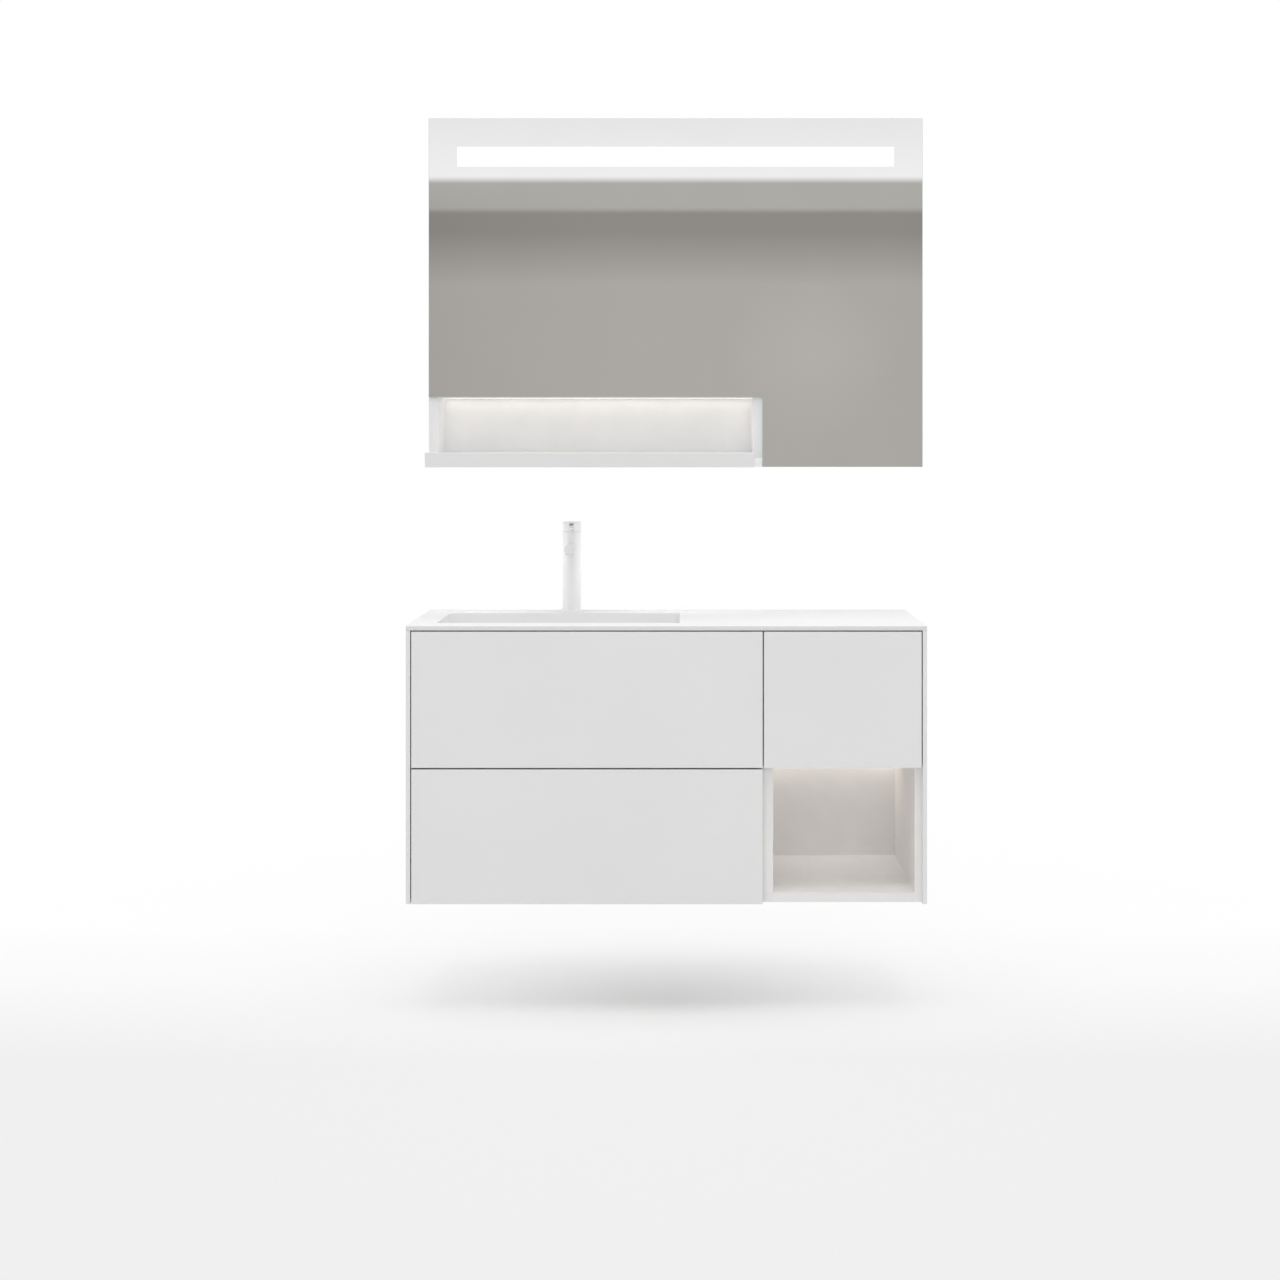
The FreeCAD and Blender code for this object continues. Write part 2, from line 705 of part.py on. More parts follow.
def lights():
    niche = (right_bay, niche_back_face, split_height)
    shelf_niche = (shelf_x, panel_y[0], notch_z)
    save("niche_led_profile", led_profile(*niche))
    save("niche_led_diffuser", led_diffuser(*niche))
    save("mirror_led_profiles", light_tray(), led_profile(*shelf_niche))
    save("shelf_led_diffuser", led_diffuser(*shelf_niche))
    places = (
        (bay_face, -rail_thickness, rail_top - rail_height / 2),
        (case_x[1], panel_y[0], sum(mirror_z) / 2),
    )
    boxes = []
    for right, seat, height in places:
        x = (right - driver_inset - driver_length, right - driver_inset)
        boxes.append(block(x, (seat - driver_thickness, seat), about(height, driver_height / 2)))
    save("led_drivers", *boxes)


countertop()
basin()
carcass()
hanging()
tap_fixed()
tap_moving()
waste()
drawers()
mirror_unit()
lights()
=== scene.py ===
import json
import math

import bmesh
import bpy
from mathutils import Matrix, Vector

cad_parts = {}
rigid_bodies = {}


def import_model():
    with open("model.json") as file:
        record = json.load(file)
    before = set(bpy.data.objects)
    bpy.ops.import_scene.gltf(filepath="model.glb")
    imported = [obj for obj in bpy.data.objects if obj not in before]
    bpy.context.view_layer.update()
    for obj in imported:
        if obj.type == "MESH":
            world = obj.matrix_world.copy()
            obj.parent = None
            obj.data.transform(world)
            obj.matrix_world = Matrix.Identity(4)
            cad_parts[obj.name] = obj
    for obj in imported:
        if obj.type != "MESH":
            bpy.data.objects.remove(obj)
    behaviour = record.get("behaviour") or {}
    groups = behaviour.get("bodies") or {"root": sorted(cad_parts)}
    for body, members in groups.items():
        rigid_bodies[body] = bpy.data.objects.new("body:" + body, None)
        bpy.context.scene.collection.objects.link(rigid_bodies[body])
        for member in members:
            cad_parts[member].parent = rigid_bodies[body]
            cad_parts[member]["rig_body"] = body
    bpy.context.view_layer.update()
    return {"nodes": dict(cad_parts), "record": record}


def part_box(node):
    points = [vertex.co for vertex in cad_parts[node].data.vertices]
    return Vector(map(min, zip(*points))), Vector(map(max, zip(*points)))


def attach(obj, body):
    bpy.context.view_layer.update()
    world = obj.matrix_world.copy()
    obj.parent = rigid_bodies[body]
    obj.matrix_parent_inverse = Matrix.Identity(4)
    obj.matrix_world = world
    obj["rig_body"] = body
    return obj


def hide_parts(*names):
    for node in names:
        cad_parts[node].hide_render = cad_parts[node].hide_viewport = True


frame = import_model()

# Wall-hung vanity with basin, tap, drawers and lit niche, under a lit mirror with an open shelf.
# Metres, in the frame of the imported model: +X right, +Y into the wall, +Z up.

scene = bpy.context.scene
scene.view_settings.view_transform = "Standard"
nodes = frame["nodes"]
DRAWERS = ("upper_left", "lower_left", "upper_right")
ROOT = "wall_fixed"


# Finishes

def grey(level):
    """A neutral display level from 0 to 255 as a linear colour."""
    return tint(level, level, level)


def tint(*levels):
    """Display levels from 0 to 255 as a linear colour with full alpha."""
    def linear(level):
        share = level / 255
        return share / 12.92 if share <= 0.04045 else ((share + 0.055) / 1.055) ** 2.4
    return (*[linear(level) for level in levels], 1.0)


def even(part):
    """A linear grey with full alpha."""
    return (part, part, part, 1.0)


class Graph:
    """A node tree that is built node by node."""

    def add(self, kind, inputs=None, **properties):
        """A node with its properties and inputs; an input is a value, a socket or several sockets."""
        node = self.tree.nodes.new(kind)
        for label, value in properties.items():
            setattr(node, label, value)
        for label, value in (inputs or {}).items():
            sources = value if isinstance(value, list) else [value]
            for source in sources:
                if isinstance(source, bpy.types.NodeSocket):
                    self.tree.links.new(source, node.inputs[label])
                else:
                    node.inputs[label].default_value = source
        return node

    def math(self, operation, *values):
        return self.add("ShaderNodeMath", dict(enumerate(values)), operation=operation).outputs[0]

    def blend(self, factor, first, second):
        """A mix of two shaders."""
        return self.add("ShaderNodeMixShader", {"Fac": factor, 1: first.outputs[0], 2: second.outputs[0]})

    def seen_directly(self):
        """1 for rays from the camera, from gloss and through glass, else 0."""
        path = self.add("ShaderNodeLightPath").outputs
        seen = self.math("MAXIMUM", path["Is Camera Ray"], path["Is Glossy Ray"])
        return self.math("MAXIMUM", seen, path["Is Transmission Ray"])

    def end(self, old, shader, output):
        """Puts a shader in the place of the one that the tree came with."""
        self.tree.nodes.remove(old)
        self.tree.links.new(shader.outputs[0], self.tree.nodes[output].inputs["Surface"])


class Finish(Graph):
    """A principled material whose pattern lies in object coordinates, in metres."""

    def __init__(self, name, **sockets):
        self.material = bpy.data.materials.new(name)
        self.material.use_nodes = True
        self.tree = self.material.node_tree
        self.shader = self.tree.nodes["Principled BSDF"]
        self.place = self.add("ShaderNodeTexCoord").outputs["Object"]
        for label, value in sockets.items():
            self.shader.inputs[label.replace("_", " ")].default_value = value

    def link(self, socket, label):
        self.tree.links.new(socket, self.shader.inputs[label])
        return self

    def turned(self, place=(0, 0, 0), turn=(0, 0, 0), stretch=(1, 1, 1)):
        """Object coordinates moved, turned or stretched for one pattern."""
        inputs = {"Vector": self.place, "Location": place, "Rotation": turn, "Scale": stretch}
        return self.add("ShaderNodeMapping", inputs).outputs["Vector"]

    def noise(self, scale, detail=2.0, place=None):
        inputs = {"Vector": place or self.place, "Scale": scale, "Detail": detail}
        return self.add("ShaderNodeTexNoise", inputs).outputs["Fac"]

    def cells(self, scale, output="Distance"):
        inputs = {"Vector": self.place, "Scale": scale}
        return self.add("ShaderNodeTexVoronoi", inputs).outputs[output]

    def waves(self, scale, place=None, kind="BANDS", direction="X", distortion=0.0):
        inputs = {"Vector": place or self.place, "Scale": scale, "Distortion": distortion}
        node = self.add("ShaderNodeTexWave", inputs, wave_type=kind)
        if kind == "BANDS":
            node.bands_direction = direction
        else:
            node.rings_direction = direction
        return node.outputs["Fac"]

    def ramp(self, factor, *stops):
        """Colours along a factor, as (place, colour) stops."""
        node = self.add("ShaderNodeValToRGB", {"Fac": factor})
        elements = node.color_ramp.elements
        while len(elements) < len(stops):
            elements.new(0.5)
        for element, (place, colour) in zip(elements, stops):
            element.position = place
            element.color = colour
        return node.outputs["Color"]

    def two_tone(self, factor, low, high):
        """Two colours that blend over the middle of a factor."""
        return self.ramp(factor, (0.3, low), (0.7, high))

    def along(self, axis, place=None):
        """One of the object coordinates."""
        return self.add("ShaderNodeSeparateXYZ", {"Vector": place or self.place}).outputs[axis]

    def between(self, value, low, high):
        """A value as a factor: 0 at low and 1 at high."""
        inputs = {"Value": value, "From Min": low, "From Max": high}
        return self.add("ShaderNodeMapRange", inputs).outputs["Result"]

    def span(self, factor, low, high):
        """A factor from 0 to 1 stretched between two values."""
        inputs = {"Value": factor, "To Min": low, "To Max": high}
        return self.add("ShaderNodeMapRange", inputs).outputs["Result"]

    def mix(self, factor, first, second):
        """A mix of two colours."""
        return self.add("ShaderNodeMix", {0: factor, 6: first, 7: second}, data_type="RGBA").outputs[2]

    def relief(self, height, depth, strength=1.0):
        """Surface relief of a depth in metres."""
        inputs = {"Height": height, "Distance": depth, "Strength": strength}
        return self.link(self.add("ShaderNodeBump", inputs).outputs["Normal"], "Normal")


def shelf_inside(finish):
    """1 on the inner faces of the open shelf's sides, where the painted light goes, else 0."""
    full_paint_within, no_paint_beyond = 0.0001, 0.0003
    across = finish.along("X", finish.turned(place=(-SHELF_MIDDLE, 0, 0)))
    return finish.between(finish.math("ABSOLUTE", across), SHELF_HALF + no_paint_beyond, SHELF_HALF + full_paint_within)


def matt_lacquer(name, level, painted_light_level=None):
    """White sprayed lacquer: a faint cloud, a fine orange peel, and, if a level is given, painted light: a
    paler colour on the open shelf's inner faces against their shade.
    """
    finish = Finish(name, Specular_IOR_Level=0.35)
    cloud = finish.noise(3.0, 1.0)
    colour = finish.two_tone(cloud, grey(level - 1), grey(level + 1))
    # Painted light: the shelf's inner faces get a paler copy of the colour, to lift the shade in the shelf's
    # corners.
    if painted_light_level:
        inner = finish.two_tone(cloud, grey(painted_light_level - 1), grey(painted_light_level + 1))
        colour = finish.mix(shelf_inside(finish), colour, inner)
    finish.link(colour, "Base Color")
    finish.link(finish.span(finish.noise(40.0), 0.4, 0.5), "Roughness")
    return finish.relief(finish.noise(650.0, 1.0), 0.00012, 0.35).material


def solid_surface(name, level):
    """Mineral-filled white sheet: sparse fine specks under a honed matt face."""
    finish = Finish(name, Specular_IOR_Level=0.4)
    specks = finish.cells(900.0)
    fleck = finish.ramp(specks, (0.0, grey(level - 15)), (0.12, grey(level)), (0.5, grey(level + 1)))
    finish.link(fleck, "Base Color")
    finish.link(finish.span(finish.noise(60.0, 3.0), 0.38, 0.5), "Roughness")
    return finish.relief(finish.noise(1200.0, 2.0), 0.00006, 0.25).material


def decor_paper(finish, colour):
    """Coloured paper on board, with a fine pearl texture."""
    finish.link(colour, "Base Color")
    finish.link(finish.span(finish.noise(90.0), 0.42, 0.55), "Roughness")
    return finish.relief(finish.cells(1400.0), 0.00006, 0.4).material


def melamine(name, low, high):
    """Board in one white."""
    finish = Finish(name, Specular_IOR_Level=0.4)
    return decor_paper(finish, finish.two_tone(finish.noise(18.0, 3.0), low, high))


def floor_board_painted_light():
    """Bottom board: white like the carcass at its front edge but painted a shade darker there as painted
    shade, and painted lighter on the niche's floor as painted light.
    """
    front_edge, niche_floor = -0.438, -0.40
    finish = Finish("floor_board_painted_light", Specular_IOR_Level=0.4)
    inward = finish.between(finish.along("Y"), front_edge, niche_floor)
    base = finish.ramp(inward, (0.0, tint(228, 227, 225)), (1.0, tint(242, 241, 240)))
    return decor_paper(finish, finish.mix(finish.noise(18.0, 3.0), base, tint(236, 235, 234)))


def linen_board():
    """Drawer board: pale grey paper with a woven linen print."""
    finish = Finish("linen_board", Specular_IOR_Level=0.35, Roughness=0.55)
    warp, weft, across = [finish.waves(160.0, direction=axis, distortion=1.5) for axis in "YZX"]
    weave = finish.math("MULTIPLY", finish.math("MULTIPLY", warp, weft), across)
    cloth = finish.ramp(weave, (0.0, tint(207, 206, 203)), (0.8, tint(193, 192, 189)))
    finish.link(finish.mix(finish.noise(9.0, 2.0), cloth, tint(201, 200, 197)), "Base Color")
    return finish.relief(weave, 0.00008, 0.35).material


def zinc_steel():
    """Zinc-plated pressed steel: spangle in the plating and drawn lines along the channel."""
    finish = Finish("zinc_steel", Metallic=1.0)
    spangle = finish.cells(320.0, "Color")
    finish.link(finish.mix(spangle, tint(179, 181, 184), tint(189, 191, 193)), "Base Color")
    drawn = finish.noise(260.0, 3.0, finish.turned(stretch=(1.0, 0.04, 1.0)))
    finish.link(finish.span(drawn, 0.26, 0.46), "Roughness")
    return finish.relief(drawn, 0.00004, 0.3).material


def moulded(name, colour, shade, rough=(0.38, 0.52), grain=1100.0):
    """Injection-moulded plastic with a spark-eroded grain."""
    finish = Finish(name, Specular_IOR_Level=0.5)
    finish.link(finish.two_tone(finish.noise(35.0, 2.0), shade, colour), "Base Color")
    finish.link(finish.span(finish.noise(140.0), *rough), "Roughness")
    return finish.relief(finish.noise(grain, 2.0), 0.00008, 0.3).material


def anodised():
    """Satin anodised extrusion: die lines along its length."""
    finish = Finish("anodised", Metallic=1.0)
    lines = finish.noise(420.0, 2.0, finish.turned(stretch=(0.01, 1.0, 1.0)))
    finish.link(finish.two_tone(lines, tint(205, 205, 207), tint(222, 222, 223)), "Base Color")
    finish.link(finish.span(lines, 0.3, 0.42), "Roughness")
    return finish.relief(lines, 0.00003, 0.3).material


def opal_light(name, colour, strength, pitch=0.0083, dip=0.94):
    """Lit opal diffuser: the chips behind it show as a faint rise and fall along its length."""
    finish = Finish(name, Base_Color=grey(235), Roughness=0.5, Emission_Strength=strength)
    chips = finish.waves(math.pi / (10 * pitch), direction="X")
    dim = (*[channel * dip for channel in colour[:3]], 1.0)
    finish.link(finish.mix(chips, dim, colour), "Emission Color")
    return finish.material


def powder_coat(name, level):
    """Matt white powder coat on brass: a soft orange peel."""
    finish = Finish(name, Specular_IOR_Level=0.45, Sheen_Weight=0.2, Sheen_Roughness=0.4)
    finish.link(finish.two_tone(finish.noise(25.0), grey(level - 1), grey(level + 1)), "Base Color")
    finish.link(finish.span(finish.noise(300.0), 0.36, 0.48), "Roughness")
    return finish.relief(finish.noise(900.0, 1.0), 0.00012, 0.4).material


def turned_metal(name, low, high, rough, axis, pitch=0.0004):
    """Machined metal with lathe rings about an upright axis."""
    finish = Finish(name, Metallic=1.0)
    about_axis = finish.turned(place=(-axis[0], -axis[1], 0))
    rings = finish.waves(math.pi / (10 * pitch), about_axis, kind="RINGS", direction="Z", distortion=0.4)
    wear = finish.noise(80.0, 3.0)
    finish.link(finish.two_tone(wear, low, high), "Base Color")
    finish.link(finish.span(rings, *rough), "Roughness")
    return finish.relief(rings, 0.00003, 0.2).material


def silvering():
    """Silver layer behind clear float glass: a mirror with hardly any haze."""
    finish = Finish("silvering", Metallic=1.0)
    haze = finish.noise(6.0, 2.0)
    finish.link(finish.two_tone(haze, grey(250), grey(252)), "Base Color")
    finish.link(finish.span(haze, 0.004, 0.012), "Roughness")
    return finish.material


def glass_edge():
    """Polished edge of the glass: pale green with a fine grind."""
    finish = Finish("glass_edge", IOR=1.52, Coat_Weight=0.6)
    grind = finish.noise(500.0, 2.0)
    finish.link(finish.two_tone(grind, tint(168, 190, 180), tint(190, 208, 199)), "Base Color")
    finish.link(finish.span(grind, 0.08, 0.16), "Roughness")
    return finish.material


def backing_paint():
    """Grey protective paint on the back of the mirror."""
    finish = Finish("backing_paint", Specular_IOR_Level=0.3)
    cloud = finish.noise(30.0, 3.0)
    finish.link(finish.two_tone(cloud, tint(120, 126, 130), tint(134, 140, 144)), "Base Color")
    finish.link(finish.span(finish.noise(150.0), 0.5, 0.65), "Roughness")
    return finish.relief(finish.noise(700.0, 2.0), 0.00008, 0.3).material


def clear_buffer():
    """Clear silicone of the buffers behind the fronts."""
    finish = Finish("clear_buffer", Transmission_Weight=0.7, IOR=1.41)
    cloud = finish.noise(200.0)
    finish.link(finish.two_tone(cloud, tint(222, 224, 226), tint(238, 239, 240)), "Base Color")
    finish.link(finish.span(finish.noise(400.0), 0.15, 0.3), "Roughness")
    return finish.material


def middle(node):
    """The middle of a node's box."""
    low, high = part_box(node)
    return (low + high) / 2


TAP_AXIS = middle("tap_body")
DRAIN_AXIS = middle("waste_plug")
WARM_LIGHT = (1.0, 0.935, 0.88, 1.0)
COOL_LIGHT = (1.0, 0.98, 0.95, 1.0)
# The open shelf's middle and half of its inner width.
SHELF_MIDDLE, SHELF_HALF = -0.1745, 0.385

finishes = {
    "solid_surface": solid_surface("solid_surface", 227),
    "white_lacquer": matt_lacquer("matt_lacquer", 227),
    "carcass_white": melamine("white_melamine", tint(234, 232, 230), tint(238, 236, 234)),
    "drawer_board": linen_board(),
    "zinc_steel": zinc_steel(),
    "latch_plastic": moulded("latch_grey", tint(170, 172, 174), tint(163, 165, 167)),
    "light_profile": anodised(),
    "light_diffuser": opal_light("window_light", COOL_LIGHT, 1.05),
    "driver_case": moulded("driver_case", tint(226, 226, 224), tint(219, 219, 217)),
    "tap_white": powder_coat("powder_coat", 245),
    "aerator_chrome": turned_metal("aerator_chrome", tint(214, 216, 220), tint(224, 226, 229), (0.05, 0.12),
                                   TAP_AXIS),
    "cartridge_plastic": moulded("cartridge_plastic", tint(188, 190, 196), tint(180, 182, 188)),
    "nut_brass": turned_metal("nut_brass", tint(198, 164, 96), tint(214, 182, 116), (0.2, 0.34), TAP_AXIS),
    "pin_steel": turned_metal("pin_steel", tint(184, 186, 190), tint(200, 202, 205), (0.15, 0.25), TAP_AXIS),
    "trap_plastic": moulded("trap_plastic", tint(233, 233, 231), tint(226, 226, 224), (0.2, 0.32), 700.0),
    "mirror_glass": silvering(),
}
for row in frame["record"]["subparts"]:
    mesh = nodes[row["node"]].data
    mesh.materials.clear()
    mesh.materials.append(finishes[row["material_slot"]])
# The mirror case's boards and back in a paler copy of the melamine: painted light against the open shelf's
# shade.
case_painted_light = melamine("case_painted_light", tint(244, 243, 242), tint(247, 246, 245))
own_finishes = {
    "mirror_case_boards": case_painted_light,
    "mirror_back_panel": case_painted_light,
    # The shelf sides: a shade darker than the fronts outside, with a paler lacquer painted on the shelf's
    # inner faces as painted light.
    "mirror_case_sides": matt_lacquer("painted_light_lacquer", 223, painted_light_level=244),
    # The cabinet backs in a paler copy of the melamine: painted light against the niche's shade.
    "cabinet_backs": melamine("back_painted_light", tint(241, 240, 238), tint(244, 243, 241)),
    "bottom_board": floor_board_painted_light(),
    # The spout in a darker copy of the tap's powder coat: painted shade on its brightly lit end.
    "tap_spout": powder_coat("spout_painted_shade", 230),
    # The ledge in a darker copy of the fronts' lacquer: painted shade.
    "mirror_shelf": matt_lacquer("ledge_painted_shade", 221),
    "niche_led_diffuser": opal_light("niche_light", WARM_LIGHT, 15.0),
    "shelf_led_diffuser": opal_light("shelf_light", WARM_LIGHT, 2.35),
}
for node, material in own_finishes.items():
    nodes[node].data.materials[0] = material


# Pieces

def finished(name, mesh, body, materials, replaced=(), smooth=30):
    """An object at the origin that rides on a body, shaded smooth up to an angle in degrees."""
    for material in materials:
        if material.name not in mesh.materials:
            mesh.materials.append(material)
    mesh.shade_smooth()
    mesh.set_sharp_from_angle(angle=math.radians(smooth))
    piece = bpy.data.objects.new(name, mesh)
    scene.collection.objects.link(piece)
    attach(piece, body)
    if replaced:
        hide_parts(*replaced)


def mesh_of(bm, name):
    """A mesh of what was built, with joined vertices and outward normals."""
    bmesh.ops.remove_doubles(bm, verts=bm.verts, dist=1e-6)
    bmesh.ops.recalc_face_normals(bm, faces=bm.faces)
    mesh = bpy.data.meshes.new(name)
    bm.to_mesh(mesh)
    bm.free()
    return mesh


def loop(bm, points):
    """A closed row of vertices with its edges."""
    verts = [bm.verts.new(point) for point in points]
    edges = [bm.edges.new((vert, verts[(place + 1) % len(verts)])) for place, vert in enumerate(verts)]
    return verts, edges


def skin(bm, rings):
    """Quads between neighbouring rings of equal length; returns the first and last ring's edges."""
    rows = [loop(bm, points) for points in rings]
    for (near, _), (far, _) in zip(rows, rows[1:]):
        for place in range(len(near)):
            after = (place + 1) % len(near)
            bm.faces.new((near[place], near[after], far[after], far[place]))
    return rows[0][1], rows[-1][1]


def fill(bm, *edge_rows):
    """A flat face between an outer loop and the loops inside it."""
    edges = [edge for row in edge_rows for edge in row]
    return bmesh.ops.triangle_fill(bm, use_beauty=True, use_dissolve=False, edges=edges)["geom"]


def rounded_ring(x, y, z, radius, steps=6):
    """Points round a level rectangle with round corners."""
    centres = ((x[1] - radius, y[0] + radius), (x[1] - radius, y[1] - radius),
               (x[0] + radius, y[1] - radius), (x[0] + radius, y[0] + radius))
    points = []
    for corner, (cx, cy) in enumerate(centres):
        for step in range(steps + 1):
            angle = math.radians(90 * (corner - 1) + 90 * step / steps)
            points.append((cx + radius * math.cos(angle), cy + radius * math.sin(angle), z))
    return points


def round_ring(centre, radius, z, count=48):
    """Points round a level circle."""
    turns = [2 * math.pi * step / count for step in range(count)]
    return [(centre[0] + radius * math.cos(turn), centre[1] + radius * math.sin(turn), z) for turn in turns]


def grown(pair, by):
    """A low and a high value, each moved outward."""
    return (pair[0] - by, pair[1] + by)


def spread(low, high, count):
    """Evenly spaced values from low to high."""
    return [low + (high - low) * step / (count - 1) for step in range(count)]


def quarter(steps):
    """Angles of a quarter turn."""
    return [math.pi / 2 * step / steps for step in range(steps + 1)]


def worktop():
    """Sheet and bowl as one seamless piece: eased rim, small coves, floor falling to the drain."""
    slab_low, slab_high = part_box("countertop")
    shell_low, shell_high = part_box("basin_bowl")
    wall, edge, rim, corner, cove, fall = 0.010, 0.001, 0.0015, 0.006, 0.008, 0.005
    slab_corner, drain_seat, drain_hole, tap_hole = 0.0015, 0.0315, 0.0218, 0.016
    seat_corner, ease, corner_share = drain_seat * 0.96, edge * 0.3, 0.5
    # Material slots: the bowl painted lighter as painted light, the sheet's rim and edge painted darker as
    # painted shade.
    bowl_painted_light_slot, edge_painted_shade_slot = 1, 2
    slab_x, slab_y = (slab_low.x, slab_high.x), (slab_low.y, slab_high.y)
    shell_x, shell_y = (shell_low.x, shell_high.x), (shell_low.y, shell_high.y)
    bowl_x, bowl_y = grown(shell_x, -wall), grown(shell_y, -wall)
    seat_x, seat_y = [grown((centre, centre), drain_seat) for centre in (DRAIN_AXIS.x, DRAIN_AXIS.y)]
    top, under, foot = slab_high.z, slab_low.z, shell_low.z
    bowl_floor = foot + wall
    bm = bmesh.new()
    inside = []
    for turn in quarter(3):
        out = rim * (1 - math.sin(turn))
        level = top - rim * (1 - math.cos(turn))
        inside.append(rounded_ring(grown(bowl_x, out), grown(bowl_y, out), level, corner + out))
    for turn in quarter(5):
        inset = cove * (1 - math.cos(turn))
        level = bowl_floor + fall + cove * (1 - math.sin(turn))
        cove_corner = corner + inset * corner_share
        inside.append(rounded_ring(grown(bowl_x, -inset), grown(bowl_y, -inset), level, cove_corner))
    inside.append(rounded_ring(seat_x, seat_y, bowl_floor, seat_corner))
    rim_edges, seat_edges = skin(bm, inside)
    hole = [round_ring(DRAIN_AXIS, drain_hole, level) for level in (bowl_floor, foot)]
    hole_top, hole_foot = skin(bm, hole)
    fill(bm, seat_edges, hole_top)
    for face in bm.faces:
        face.material_index = bowl_painted_light_slot
    slab_rows = ((edge, top), (ease, top - ease), (0, top - edge), (0, under))
    slab = [rounded_ring(grown(slab_x, -inset), grown(slab_y, -inset), level,
                         slab_corner - inset * corner_share)
            for inset, level in slab_rows]
    top_edges, under_edges = skin(bm, slab)
    for face in bm.faces:
        if face.material_index != bowl_painted_light_slot:
            face.material_index = edge_painted_shade_slot
    tap_top, tap_under = skin(bm, [round_ring(TAP_AXIS, tap_hole, level) for level in (top, under)])
    shell = [rounded_ring(shell_x, shell_y, level, corner + wall) for level in (under, foot)]
    shell_rim, shell_foot = skin(bm, shell)
    fill(bm, top_edges, rim_edges, tap_top)
    fill(bm, under_edges, shell_rim, tap_under)
    fill(bm, shell_foot, hole_foot)
    # The bowl's faces are painted lighter than the sheet against the bowl's shade, and the rim and edge
    # darker against the lit rim: painted light and painted shade.
    surfaces = [finishes["solid_surface"], solid_surface("bowl_painted_light", 234),
                solid_surface("edge_painted_shade", 216)]
    finished("worktop_and_basin", mesh_of(bm, "worktop_and_basin"), ROOT, surfaces,
             ("countertop", "basin_bowl"))


def mirror_glass():
    """L-shaped pane with a polished arris, silvered in front and painted behind."""
    low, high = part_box("mirror_pane")
    window_low, window_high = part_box("mirror_light_window")
    arris, shelf_upright = 0.0008, 0.022
    silver_side, ground_edge, painted_side = 0, 1, 2
    notch_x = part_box("mirror_shelf")[1].x + shelf_upright
    notch_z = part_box("shelf_led_diffuser")[0].z

    def outline(inset, y):
        return [(notch_x + inset, y, low.z + inset), (high.x - inset, y, low.z + inset),
                (high.x - inset, y, high.z - inset), (low.x + inset, y, high.z - inset),
                (low.x + inset, y, notch_z + inset), (notch_x + inset, y, notch_z + inset)]

    def window(y):
        return [(window_low.x, y, window_low.z), (window_high.x, y, window_low.z),
                (window_high.x, y, window_high.z), (window_low.x, y, window_high.z)]

    bm = bmesh.new()
    front, back = skin(bm, [outline(arris, low.y), outline(0, low.y + arris), outline(0, high.y)])
    hole_front, hole_back = skin(bm, [window(low.y), window(high.y)])
    for face in bm.faces:
        face.material_index = ground_edge
    for side, rows in ((silver_side, (front, hole_front)), (painted_side, (back, hole_back))):
        for item in fill(bm, *rows):
            if isinstance(item, bmesh.types.BMFace):
                item.material_index = side
    finished("mirror_glass_pane", mesh_of(bm, "mirror_glass_pane"), ROOT,
             [finishes["mirror_glass"], glass_edge(), backing_paint()], ("mirror_pane",))


def eased_copy(node, width, segments=3, sharp_from=28):
    """A turned or pressed piece again, with its edges rounded and its curves shaded smooth."""
    name = node + "_eased"
    source = nodes[node]
    bm = bmesh.new()
    bm.from_mesh(source.data)
    bmesh.ops.remove_doubles(bm, verts=bm.verts, dist=1e-6)
    bmesh.ops.dissolve_limit(bm, angle_limit=math.radians(1), verts=bm.verts, edges=bm.edges)
    sharp = [edge for edge in bm.edges
             if edge.is_manifold and edge.calc_face_angle() > math.radians(sharp_from)]
    bmesh.ops.bevel(bm, geom=sharp, offset=width, offset_type="OFFSET", segments=segments, profile=0.5,
                    affect="EDGES", clamp_overlap=True)
    finished(name, mesh_of(bm, name), source["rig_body"], [source.data.materials[0]], (node,))


def lever_shutter():
    """Polished shutter that the pin lever carries behind the cap's slot, stepped back under the cap's top."""
    hinge = middle("lever_pin")
    reach, thickness, half, step_half = 0.019, 0.0008, 0.0052, 0.0044
    lowest, highest, rows = math.radians(-24), math.radians(20), 9
    # Each step's place forward of the hinge, and its lower and upper edge above it.
    steps = ((0.0135, 0.0067, 0.0087), (0.009, 0.0089, 0.0101), (0.0055, 0.0103, 0.0113))
    profile = []
    for turn in spread(lowest, highest, rows):
        profile.append((half, reach * math.cos(turn), reach * math.sin(turn)))
    for forward, low, high in steps:
        profile.append((step_half, forward, low))
        profile.append((step_half, forward, high))
    rings = []
    for wide, forward, up in profile:
        inward = 1 - thickness / math.hypot(forward, up)
        rings.append([(hinge.x + x, hinge.y - forward * part, hinge.z + up * part)
                      for x, part in ((-wide, 1), (wide, 1), (wide, inward), (-wide, inward))])
    bm = bmesh.new()
    for edges in skin(bm, rings):
        fill(bm, edges)
    finished("lever_shutter", mesh_of(bm, "lever_shutter"), "tap_pin_lever",
             [finishes["aerator_chrome"]])


worktop()
mirror_glass()
lever_shutter()
EASED = {
    "tap_body": 0.0005, "tap_spout": 0.0006, "tap_cap": 0.0006, "tap_lever": 0.0006, "tap_base": 0.0008,
    "waste_flange": 0.0008, "waste_plug": 0.0018, "trap_body": 0.002, "trap_wall_pipe": 0.0004,
    "waste_nut": 0.0012, "tap_fixing_nut": 0.0008, "tap_aerator": 0.0006, "tap_cartridge": 0.0006,
    "upper_left_plunger": 0.001, "lower_left_plunger": 0.001, "upper_right_plunger": 0.001,
}
for node, width in EASED.items():
    eased_copy(node, width)


# Repeated small parts, grown by Geometry Nodes

